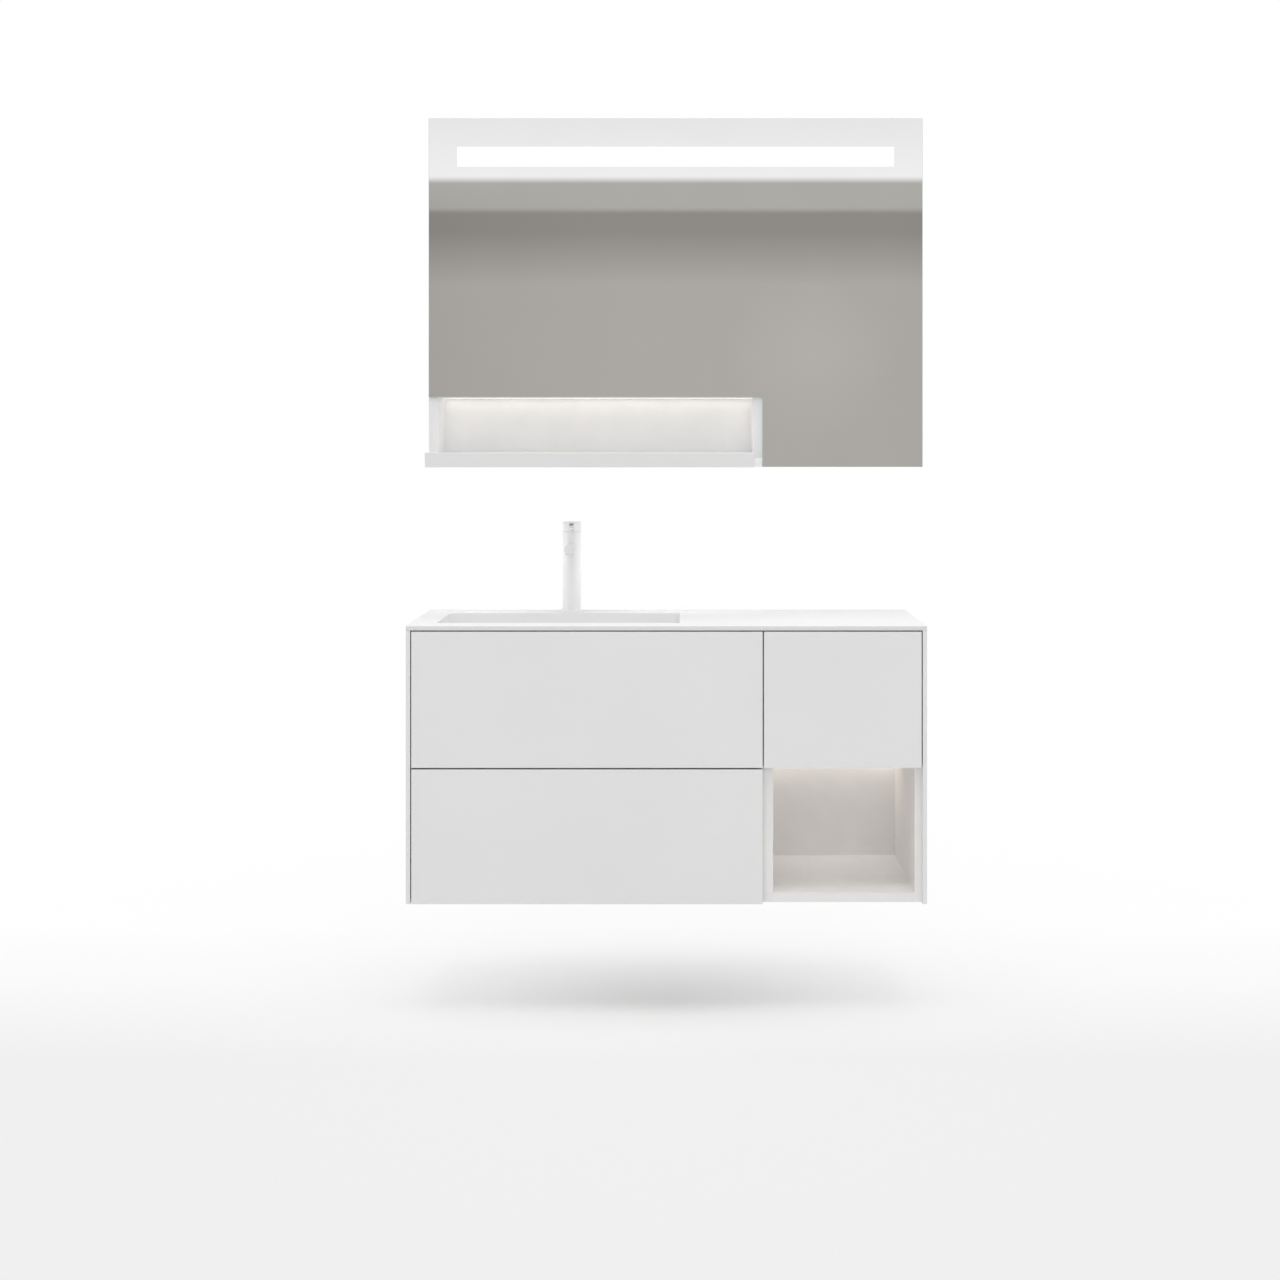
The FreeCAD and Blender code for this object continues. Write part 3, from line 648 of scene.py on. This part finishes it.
class Growth(Graph):
    """A Geometry Nodes tree with named inputs for its sizes and its material."""

    def __init__(self, name, **kinds):
        self.tree = bpy.data.node_groups.new(name, "GeometryNodeTree")
        face = self.tree.interface
        face.new_socket("Geometry", in_out="INPUT", socket_type="NodeSocketGeometry")
        self.keys = {}
        for label, kind in dict(kinds, material="Material").items():
            socket = face.new_socket(label, in_out="INPUT", socket_type="NodeSocket" + kind)
            self.keys[label] = socket.identifier
        face.new_socket("Geometry", in_out="OUTPUT", socket_type="NodeSocketGeometry")
        self.given = self.add("NodeGroupInput").outputs

    def sizes(self, *labels):
        return [self.given[label] for label in labels]

    def vector(self, **parts):
        return self.add("ShaderNodeCombineXYZ", parts).outputs["Vector"]

    def cone(self, sides, base, taper, rise, segments=1):
        """A blunt cone on its base; the taper is the top's share of the base radius."""
        inputs = {"Vertices": sides, "Side Segments": segments, "Fill Segments": segments, "Depth": rise,
                  "Radius Top": self.math("MULTIPLY", base, taper), "Radius Bottom": base}
        return self.add("GeometryNodeMeshCone", inputs).outputs["Mesh"]

    def circle(self, sides, radius):
        inputs = {"Resolution": sides, "Radius": radius}
        return self.add("GeometryNodeCurvePrimitiveCircle", inputs).outputs["Curve"]

    def sweep(self, path, section, caps=True):
        """A section drawn along a path."""
        inputs = {"Curve": path, "Profile Curve": section, "Fill Caps": caps}
        return self.add("GeometryNodeCurveToMesh", inputs).outputs["Mesh"]

    def moved(self, geometry, to):
        inputs = {"Geometry": geometry, "Translation": to}
        return self.add("GeometryNodeTransform", inputs).outputs["Geometry"]

    def set_on(self, points, shape, turn=None):
        inputs = {"Points": points, "Instance": shape}
        if turn:
            inputs["Rotation"] = turn
        return self.add("GeometryNodeInstanceOnPoints", inputs).outputs["Instances"]

    def facing(self):
        """The turn that points a shape's Z the way that its mark faces."""
        way = self.add("GeometryNodeInputNamedAttribute", {"Name": "facing"}, data_type="FLOAT_VECTOR")
        inputs = {"Vector": way.outputs["Attribute"]}
        return self.add("FunctionNodeAlignRotationToVector", inputs, axis="Z").outputs["Rotation"]

    def close(self, shape, turn=None):
        """Sets the shape on every mark and ends the tree in real, painted geometry."""
        placed = self.set_on(self.given["Geometry"], shape, turn)
        real = self.add("GeometryNodeRealizeInstances", {"Geometry": placed}).outputs["Geometry"]
        inputs = {"Geometry": real, "Material": self.given["material"]}
        painted = self.add("GeometryNodeSetMaterial", inputs).outputs["Geometry"]
        self.add("NodeGroupOutput", {"Geometry": painted})
        return self

    def grow(self, name, body, slot, places, material=None, **sizes):
        """One mesh of all the shapes on the marked places of a body, in the slot's finish or its own."""
        material = material or finishes[slot]
        holder = bpy.data.objects.new(name, marked_points(places))
        scene.collection.objects.link(holder)
        modifier = holder.modifiers.new("growth", "NODES")
        modifier.node_group = self.tree
        for label, value in dict(sizes, material=material).items():
            modifier[self.keys[label]] = value
        evaluated = holder.evaluated_get(bpy.context.evaluated_depsgraph_get())
        mesh = bpy.data.meshes.new_from_object(evaluated)
        mesh.name = name
        bpy.data.objects.remove(holder)
        finished(name, mesh, body, [material], smooth=40)


def marked_points(places):
    """Loose points, each with the direction that its shape faces."""
    mesh = bpy.data.meshes.new("marks")
    mesh.from_pydata([place for place, way in places], [], [])
    facing = mesh.attributes.new("facing", "FLOAT_VECTOR", "POINT")
    facing.data.foreach_set("vector", [float(part) for place, way in places for part in way])
    return mesh


def cross_head_screws():
    """Pan heads with a cross recess, each turned its own way."""
    seed = 11
    growth = Growth("cross_head_screws", head_radius="Float", head_rise="Float", recess_width="Float")
    radius, rise, width = growth.sizes("head_radius", "head_rise", "recess_width")
    head = growth.cone(20, radius, taper=0.66, rise=rise)
    arms = []
    for across, along in ((radius, width), (width, radius)):
        size = growth.vector(X=across, Y=along, Z=rise)
        arm = growth.add("GeometryNodeMeshCube", {"Size": size}).outputs["Mesh"]
        arms.append(growth.moved(arm, growth.vector(Z=rise)))
    inputs = {"Mesh 1": head, "Mesh 2": arms}
    cut = growth.add("GeometryNodeMeshBoolean", inputs, operation="DIFFERENCE", solver="EXACT")
    inputs = {2: 0.0, 3: math.pi / 2, 8: seed}
    angle = growth.add("FunctionNodeRandomValue", inputs, data_type="FLOAT").outputs[1]
    spin = growth.add("FunctionNodeEulerToRotation", {"Euler": growth.vector(Z=angle)}).outputs["Rotation"]
    inputs = {"Rotation": growth.facing(), "Rotate By": spin}
    turn = growth.add("FunctionNodeRotateRotation", inputs, rotation_space="LOCAL").outputs["Rotation"]
    return growth.close(cut.outputs["Mesh"], turn)


def hexagon_bolts():
    """Hexagon heads on round washers."""
    growth = Growth("hexagon_bolts", head_radius="Float", head_rise="Float",
                    washer_radius="Float", washer_rise="Float")
    radius, rise, wide, thin = growth.sizes("head_radius", "head_rise", "washer_radius", "washer_rise")
    washer = growth.cone(32, wide, taper=0.96, rise=thin)
    head = growth.moved(growth.cone(6, radius, taper=0.93, rise=rise), growth.vector(Z=thin))
    bolt = growth.add("GeometryNodeJoinGeometry", {"Geometry": [washer, head]}).outputs["Geometry"]
    return growth.close(bolt, growth.facing())


def buffer_pads():
    """Soft domed pads that the closed fronts come to rest against."""
    growth = Growth("buffer_pads", pad_radius="Float", pad_rise="Float")
    radius, rise = growth.sizes("pad_radius", "pad_rise")
    inputs = {"Mesh": growth.cone(12, radius, taper=0.7, rise=rise, segments=2), "Level": 1}
    domed = growth.add("GeometryNodeSubdivisionSurface", inputs).outputs["Mesh"]
    return growth.close(domed, growth.facing())


def thread_turns():
    """A screw thread that climbs from each marked place."""
    growth = Growth("thread_turns", thread_radius="Float", pitch="Float", length="Float", ridge="Float")
    radius, pitch, length, ridge = growth.sizes("thread_radius", "pitch", "length", "ridge")
    spiral = {"Resolution": 40, "Rotations": growth.math("DIVIDE", length, pitch), "Start Radius": radius,
              "End Radius": radius, "Height": length}
    path = growth.add("GeometryNodeCurveSpiral", spiral).outputs["Curve"]
    turns = growth.sweep(path, growth.circle(6, ridge))
    return growth.close(turns)


def grip_flutes():
    """Upright ribs in a ring round each marked place, for fingers to grip."""
    growth = Growth("grip_flutes", count="Int", ring_radius="Float", rib_radius="Float", height="Float")
    count, ring, rib, height = growth.sizes("count", "ring_radius", "rib_radius", "height")
    places = growth.add("GeometryNodeMeshCircle", {"Vertices": count, "Radius": ring}).outputs["Mesh"]
    stem = {"Vertices": 10, "Side Segments": 1, "Radius": rib, "Depth": height}
    stem = growth.add("GeometryNodeMeshCylinder", stem).outputs["Mesh"]
    return growth.close(growth.set_on(places, stem))


def outlet_cells():
    """Hexagon cells of the aerator's outlet."""
    growth = Growth("outlet_cells", cell_radius="Float", wall="Float", depth="Float")
    radius, wall, depth = growth.sizes("cell_radius", "wall", "depth")
    inputs = {"Width": wall, "Height": depth}
    section = growth.add("GeometryNodeCurvePrimitiveQuadrilateral", inputs).outputs["Curve"]
    cell = growth.sweep(growth.circle(6, radius), section, caps=False)
    return growth.close(cell)


def cooling_bars():
    """Half-round bars along X on the face of a driver."""
    growth = Growth("cooling_bars", length="Float", bar_radius="Float")
    length, radius = growth.sizes("length", "bar_radius")
    start, end = [growth.vector(X=growth.math("MULTIPLY", length, part)) for part in (-0.5, 0.5)]
    path = growth.add("GeometryNodeCurvePrimitiveLine", {"Start": start, "End": end}).outputs["Curve"]
    bar = growth.sweep(path, growth.circle(10, radius))
    return growth.close(bar)


LEFT, RIGHT, FRONT, BACK, UP, DOWN = (-1, 0, 0), (1, 0, 0), (0, -1, 0), (0, 1, 0), (0, 0, 1), (0, 0, -1)


def drawer_fittings(name, screws):
    """Corner brackets between the front and the sides, and the screws of one drawer box."""
    low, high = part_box(name + "_sides")
    inner_low, inner_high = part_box(name + "_bottom")
    bottom, back = middle(name + "_bottom"), middle(name + "_back")
    leg, gauge, tall, clip = 0.024, 0.0016, 0.036, 0.005
    screw_reach, screw_step, screw_rim, first_screw, last_screw = 0.015, 0.01, 0.025, 0.04, 0.06
    tall_box, bracket_foot, bracket_head = 0.16, 0.04, 0.03
    outline = [(0, 0), (leg, 0), (leg, gauge), (2 * gauge, gauge), (gauge, 2 * gauge), (gauge, leg), (0, leg)]
    front = low.y
    floor = inner_high.z
    heights = [(floor + high.z) / 2]
    if high.z - low.z > tall_box:
        heights = [floor + bracket_foot, high.z - bracket_head]
    floor_screws = spread(front + first_screw, high.y - last_screw, 4)
    bm = bmesh.new()
    places = []
    for wall, outer, way in ((inner_low.x, low.x, 1), (inner_high.x, high.x, -1)):
        for height in heights:
            rows = [[bm.verts.new((wall + way * u, front + v, height + level)) for u, v in outline]
                    for level in (-tall / 2, tall / 2)]
            for row in rows:
                bm.faces.new(row)
            for step in range(len(outline)):
                after = (step + 1) % len(outline)
                bm.faces.new((rows[0][step], rows[0][after], rows[1][after], rows[1][step]))
            ends = [bm.edges.get((row[first], row[first + 1])) for row in rows for first in (1, 5)]
            bmesh.ops.bevel(bm, geom=ends, offset=clip, offset_type="OFFSET", segments=4, profile=0.5,
                            affect="EDGES")
            for step in (-screw_step, screw_step):
                places.append(((wall + way * screw_reach, front + gauge, height + step), BACK))
                places.append(((wall + way * gauge, front + screw_reach, height + step), (way, 0, 0)))
        places += [((outer, depth, bottom.z), (-way, 0, 0)) for depth in floor_screws]
        for height in (floor + screw_rim, high.z - screw_rim):
            places.append(((outer, back.y, height), (-way, 0, 0)))
    body = name + "_drawer"
    brackets = name + "_corner_brackets"
    finished(brackets, mesh_of(bm, brackets), body, [finishes["zinc_steel"]])
    screws.grow(name + "_screws", body, "zinc_steel", places,
                head_radius=0.0035, head_rise=0.0016, recess_width=0.001)


def fixed_screws(screws, drivers):
    """Screw heads on the back panels, hangers, latches and drivers."""
    rim, side_rim, end_rim = 0.012, 0.01, 0.02
    past_ledge, side_start, above_rail = 0.04, 0.2, 0.09
    hanger_in, hanger_rises = 0.006, (0.012, 0.033)
    latch_half, latch_depth, driver_screw = 0.006, 0.0115, 0.052
    low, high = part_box("mirror_back_panel")
    ledge_end, ledge_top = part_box("mirror_shelf")[1].x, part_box("mirror_shelf")[1].z
    spots = [(x, high.z - rim) for x in spread(low.x + rim, high.x - rim, 7)]
    spots += [(x, ledge_top + rim) for x in spread(low.x + rim, ledge_end - rim, 5)]
    spots += [(x, low.z + rim) for x in spread(ledge_end + past_ledge, high.x - rim, 3)]
    for x in (low.x + rim, high.x - rim):
        spots += [(x, z) for z in spread(low.z + side_start, high.z - side_start, 3)]
    places = [((x, high.y, z), BACK) for x, z in spots]
    low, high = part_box("cabinet_backs")
    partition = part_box("partition")
    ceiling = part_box("niche_ceiling")
    niche_rows = spread(low.z + end_rim, ceiling[0].z - end_rim, 4)
    bay_rows = spread(ceiling[1].z + end_rim, high.z - end_rim, 2)
    for x in (partition[1].x + side_rim, high.x - side_rim):
        places += [((x, high.y, z), BACK) for z in niche_rows + bay_rows]
    for x in (low.x + side_rim, partition[0].x - side_rim):
        places += [((x, high.y, z), BACK) for z in spread(low.z + above_rail, high.z - end_rim, 4)]
    low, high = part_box("hangers")
    for x in (low.x + hanger_in, high.x - hanger_in):
        places += [((x, low.y, low.z + rise), FRONT) for rise in hanger_rises]
    for drawer in DRAWERS:
        plunger = middle(drawer + "_plunger")
        way = RIGHT if drawer == "upper_right" else LEFT
        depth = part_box(drawer + "_plunger")[1].y + latch_depth
        places.append(((plunger.x + latch_half * way[0], depth, plunger.z), way))
    for x, y, z in drivers:
        places += [((x + step, y, z), FRONT) for step in (-driver_screw, driver_screw)]
    screws.grow("fixed_screws", ROOT, "zinc_steel", places,
                head_radius=0.0032, head_rise=0.0013, recess_width=0.0009)


def driver_faces():
    """The middle of each driver's front face: one on the cabinet's rail, one behind the mirror."""
    low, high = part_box("led_drivers")
    length, tall, thick = 0.120, 0.040, 0.018
    on_rail = (low.x + length / 2, high.y - thick, low.z + tall / 2)
    behind_mirror = (high.x - length / 2, low.y, high.z - tall / 2)
    return [on_rail, behind_mirror]


def wall_bolt_places():
    """Two bolts in each wall plate: two plates for the cabinet, two for the mirror case."""
    low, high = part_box("wall_plates")
    case_low, case_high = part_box("mirror_pane")
    plate_face, mirror_plate, hole_rises = -0.0025, 0.075, (0.012, 0.044)
    cabinet_in, mirror_in = 0.03, 0.15
    columns = [(x, low.z) for x in (low.x + cabinet_in, high.x - cabinet_in)]
    columns += [(x, high.z - mirror_plate) for x in (case_low.x + mirror_in, case_high.x - mirror_in)]
    return [((x, plate_face, foot + rise), FRONT) for x, foot in columns for rise in hole_rises]


def front_buffers():
    """Buffers on the carcass edges behind each front."""
    half_board, upper_in, lower_in = 0.008, (0.025, 0.022), (0.04, 0.025)
    rail_x, rail_drop, base_x = 0.15, 0.005, 0.18
    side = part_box("carcass_sides")
    left, right = side[0].x + half_board, side[1].x - half_board
    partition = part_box("partition")[1].x - half_board
    upper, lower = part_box("upper_left_front"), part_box("lower_left_front")
    upper_rows = (upper[0].z + upper_in[0], upper[1].z - upper_in[1])
    lower_rows = (lower[0].z + lower_in[0], lower[1].z - lower_in[1])
    places = [(left, z) for z in upper_rows + lower_rows]
    places += [(rail_x, upper[1].z - rail_drop), (base_x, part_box("bottom_board")[1].z / 2)]
    places += [(x, z) for x in (partition, right) for z in upper_rows]
    return [((x, side[0].y, z), FRONT) for x, z in places]


def outlet_lattice():
    """Places of the outlet's cells, packed in rows inside a circle."""
    centre = middle("tap_aerator")
    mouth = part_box("tap_aerator")[0].z
    pitch, reach = 0.00175, 0.0074
    rows = int(reach / pitch) + 2
    places = []
    for row in range(-rows, rows + 1):
        for step in range(-rows, rows + 1):
            x = pitch * (step + 0.5 * (row % 2))
            y = pitch * row * math.sqrt(3) / 2
            if math.hypot(x, y) < reach:
                places.append(((centre.x + x, centre.y + y, mouth), DOWN))
    return places


def on_axis(axis, z):
    """One upright mark on an axis."""
    return [((axis.x, axis.y, z), UP)]


drivers = driver_faces()
screws = cross_head_screws()
for drawer in DRAWERS:
    drawer_fittings(drawer, screws)
fixed_screws(screws, drivers)
hexagon_bolts().grow("wall_bolts", ROOT, "zinc_steel", wall_bolt_places(),
                     head_radius=0.0075, head_rise=0.004, washer_radius=0.0085, washer_rise=0.0012)
buffer_pads().grow("front_buffers", ROOT, "latch_plastic", front_buffers(), clear_buffer(),
                   pad_radius=0.0045, pad_rise=0.0022)

threads = thread_turns()
thread_lead = 0.001
shank_foot, tail_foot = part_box("tap_base")[0].z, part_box("waste_flange")[0].z
threads.grow("shank_thread", ROOT, "nut_brass", on_axis(TAP_AXIS, shank_foot + thread_lead),
             thread_radius=0.014, pitch=0.0015, length=0.031, ridge=0.0005)
threads.grow("tail_thread", ROOT, "tap_white", on_axis(DRAIN_AXIS, tail_foot + thread_lead),
             thread_radius=0.0215, pitch=0.0023, length=0.034, ridge=0.0007)

flutes = grip_flutes()
flute_in = 0.012
trap_low, trap_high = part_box("trap_body")
flutes.grow("trap_collar_flutes", ROOT, "trap_plastic", on_axis(DRAIN_AXIS, trap_high.z - flute_in),
            count=32, ring_radius=0.0262, rib_radius=0.0016, height=0.018)
flutes.grow("trap_cup_flutes", ROOT, "trap_plastic", on_axis(DRAIN_AXIS, trap_low.z + flute_in),
            count=40, ring_radius=0.0316, rib_radius=0.0015, height=0.016)

outlet_cells().grow("aerator_outlet", ROOT, "cartridge_plastic", outlet_lattice(),
                    cell_radius=0.00095, wall=0.00022, depth=0.0007)
bar_steps = spread(-0.013, 0.013, 6)
bars = [((x, y, z + step), FRONT) for x, y, z in drivers for step in bar_steps]
cooling_bars().grow("driver_bars", ROOT, "driver_case", bars, length=0.07, bar_radius=0.0012)


# Stage: camera, light, floor and what the mirror looks at

FLOOR_Z = -0.255
CAMERA_PLACE = (0.0243, -5.130, 1.0614)


def camera_at_photo():
    """The camera that took the photo: level, with the picture shifted."""
    data = bpy.data.cameras.new("photo_camera")
    data.lens = 57.08
    data.sensor_width = 36.0
    data.shift_x = -0.0289
    data.shift_y = -0.1539
    data.clip_end = 200.0
    camera = bpy.data.objects.new("photo_camera", data)
    camera.location = CAMERA_PLACE
    camera.rotation_euler = (math.radians(90), 0, 0)
    scene.collection.objects.link(camera)
    scene.camera = camera


def white_world(level):
    """White to the eye, and softer as a light."""
    world = bpy.data.worlds.new("studio")
    world.use_nodes = True
    graph = Graph()
    graph.tree = world.node_tree
    lit, plain = [graph.add("ShaderNodeBackground", {"Color": even(1.0), "Strength": strength})
                  for strength in (level, 1.0)]
    backdrop = graph.blend(graph.seen_directly(), lit, plain)
    graph.end(graph.tree.nodes["Background"], backdrop, "World Output")
    scene.world = world


def soft_box(name, place, aim, width, height, watts, spread_degrees=180):
    """A lamp with a rectangular face, seen by its light alone."""
    data = bpy.data.lights.new(name, "AREA")
    data.shape = "RECTANGLE"
    data.size = width
    data.size_y = height
    data.energy = watts
    data.spread = math.radians(spread_degrees)
    lamp = bpy.data.objects.new(name, data)
    lamp.location = place
    lamp.rotation_euler = (Vector(aim) - Vector(place)).to_track_quat("-Z", "Y").to_euler()
    lamp.visible_camera = False
    lamp.visible_glossy = False
    scene.collection.objects.link(lamp)


def sheet_mesh(name, corners):
    """A flat sheet of the stage."""
    mesh = bpy.data.meshes.new(name)
    mesh.from_pydata(corners, [], [list(range(len(corners)))])
    sheet = bpy.data.objects.new(name, mesh)
    scene.collection.objects.link(sheet)
    return sheet


def studio_floor():
    """White floor that keeps the shadow near the set, with the paper under the shadow painted darker to
    deepen it, falls to a pale grey in front and ends in white.
    """
    half = 40.0
    corners = [(x, y, FLOOR_Z) for x, y in ((-half, -half), (half, -half), (half, half), (-half, half))]
    floor = sheet_mesh("studio_floor", corners)
    finish = Finish("studio_floor")
    near, far, fade_reach, shadow_deepening = 0.4, -6.4, 2.5, 7
    forward = finish.between(finish.along("Y"), near, far)
    rows = ((0.4, 255), (-0.2, 250), (-0.8, 240), (-2.0, 240), (-6.0, 255))
    # The paper that takes the shadow is painted a few levels darker: painted shade that deepens the shadow
    # near the set.
    paper, paper_for_shadow = [
        finish.ramp(forward, *[((near - place) / (near - far), grey(level - lower)) for place, level in rows])
        for lower in (0, shadow_deepening)]
    from_set = finish.turned(place=(0.0, 0.42, 0.0), stretch=(0.9, 1.0, 0.0))
    away = finish.add("ShaderNodeVectorMath", {0: from_set}, operation="LENGTH").outputs["Value"]
    shares = ((0.0, 1.0), (0.088, 0.76), (0.152, 0.55), (0.266, 0.23), (0.5, 0.1), (1.0, 0.0))
    reach = finish.between(away, 0.0, fade_reach)
    share = finish.ramp(reach, *[(place, even(part)) for place, part in shares])
    shaded = finish.add("ShaderNodeBsdfDiffuse", {"Color": paper_for_shadow})
    lifted = finish.add("ShaderNodeEmission", {"Color": paper, "Strength": 1.0})
    bounce = finish.add("ShaderNodeBsdfDiffuse", {"Color": grey(236)})
    seen = finish.blend(finish.seen_directly(), bounce, finish.blend(share, lifted, shaded))
    finish.end(finish.shader, seen, "Material Output")
    floor.data.materials.append(finish.material)


def facing_room():
    """The room that the mirror looks at, seen by gloss alone: a pale ceiling, a beam with painted shade under
    it and a grey wall, painted darker towards its sides and with a painted pool of light.
    """
    near, far, half, top = 0.4, -6.0, 5.0, 3.6
    walls = {
        "room_far": [(-half, far, FLOOR_Z), (half, far, FLOOR_Z), (half, far, top), (-half, far, top)],
        "room_left": [(-half, near, FLOOR_Z), (-half, far, FLOOR_Z), (-half, far, top), (-half, near, top)],
        "room_right": [(half, far, FLOOR_Z), (half, near, FLOOR_Z), (half, near, top), (half, far, top)],
    }
    finish = Finish("room_wall")
    low, high = 0.9, 2.9
    wall, shade, beam = tint(174, 171, 167), tint(144, 141, 137), tint(175, 173, 168)
    ceiling_edge, ceiling = grey(242), grey(233)
    bands = ((1.9, wall), (2.18, shade), (2.28, shade), (2.31, beam), (2.44, beam),
             (2.475, ceiling_edge), (2.8, ceiling))
    height = finish.along("Z")
    paint = finish.ramp(finish.between(height, low, high),
                        *[((place - low) / (high - low), colour) for place, colour in bands])
    # Painted shade: the wall darker towards the left and a little at the right; painted light: a brighter
    # pool on the far wall.
    half_view, wall_top, ceiling_foot = 1.4, 2.3, 2.46
    painted_side_shade = ((0.0, 0.9), (0.13, 0.945), (0.42, 1.0), (0.9, 1.0), (1.0, 0.97))
    across = finish.between(finish.along("X"), -half_view, half_view)
    sideways = finish.ramp(across, *[(place, even(part)) for place, part in painted_side_shade])
    sideways = finish.mix(finish.between(height, ceiling_foot, wall_top), even(1.0), sideways)
    light_pool_middle, light_pool_scale, light_pool_gain = (0.725, far, 1.528), 2.2, 1.09
    shift = tuple(-light_pool_scale * part for part in light_pool_middle)
    from_light_pool = finish.turned(place=shift, stretch=(light_pool_scale, light_pool_scale, light_pool_scale))
    painted_light_pool = finish.add("ShaderNodeTexGradient", {"Vector": from_light_pool}, gradient_type="SPHERICAL")
    strength = finish.math("MULTIPLY", sideways, finish.span(painted_light_pool.outputs["Fac"], 1.0, light_pool_gain))
    glow = finish.add("ShaderNodeEmission", {"Color": paint, "Strength": strength})
    finish.end(finish.shader, glow, "Material Output")
    for name, corners in walls.items():
        side = sheet_mesh(name, corners)
        side.data.materials.append(finish.material)
        side.visible_camera = False
        side.visible_diffuse = False
        side.visible_shadow = False
        side.visible_transmission = False


camera_at_photo()
white_world(0.7)
soft_box("top_light", (0.0, -1.1, 4.2), (0.0, -0.2, 0.0), 3.6, 2.6, 74.0)
soft_box("front_light", (0.0, -7.0, 2.8), (0.0, 0.0, 0.7), 4.0, 3.0, 38.5)
SIDES = (("left", -1), ("right", 1))
for side, way in SIDES:
    soft_box(side + "_light", (way * 5.0, -0.7, 1.6), (0.0, -0.2, 0.7), 3.0, 3.0, 22.0)
soft_box("shelf_lamp", (SHELF_MIDDLE, -0.2, 1.1), (SHELF_MIDDLE, -0.022, 1.04), 0.74, 0.02, 0.055)
for side, way in SIDES:
    end = SHELF_MIDDLE + way * SHELF_HALF
    soft_box("shelf_end_lamp_" + side, (end - way * 0.09, -0.115, 1.1), (end, -0.06, 1.09),
             0.06, 0.06, 0.0055, spread_degrees=120)
WORKTOP_LIGHTS = (("left", -0.455, 0.29, 0.07), ("middle", 0.015, 0.37, 0.095), ("right", 0.41, 0.42, 0.05))
for part, x, width, watts in WORKTOP_LIGHTS:
    soft_box("worktop_light_" + part, (x, -0.04, 0.985), (x, -0.04, 0.64), width, 0.06, watts,
             spread_degrees=60)
TAP_FACE = (TAP_AXIS.x, TAP_AXIS.y, 0.77)
for side, way in SIDES:
    soft_box("tap_light_" + side, (TAP_AXIS.x + way * 0.4, *TAP_FACE[1:]), TAP_FACE, 0.12, 0.2, 0.019,
             spread_degrees=36)
studio_floor()
facing_room()
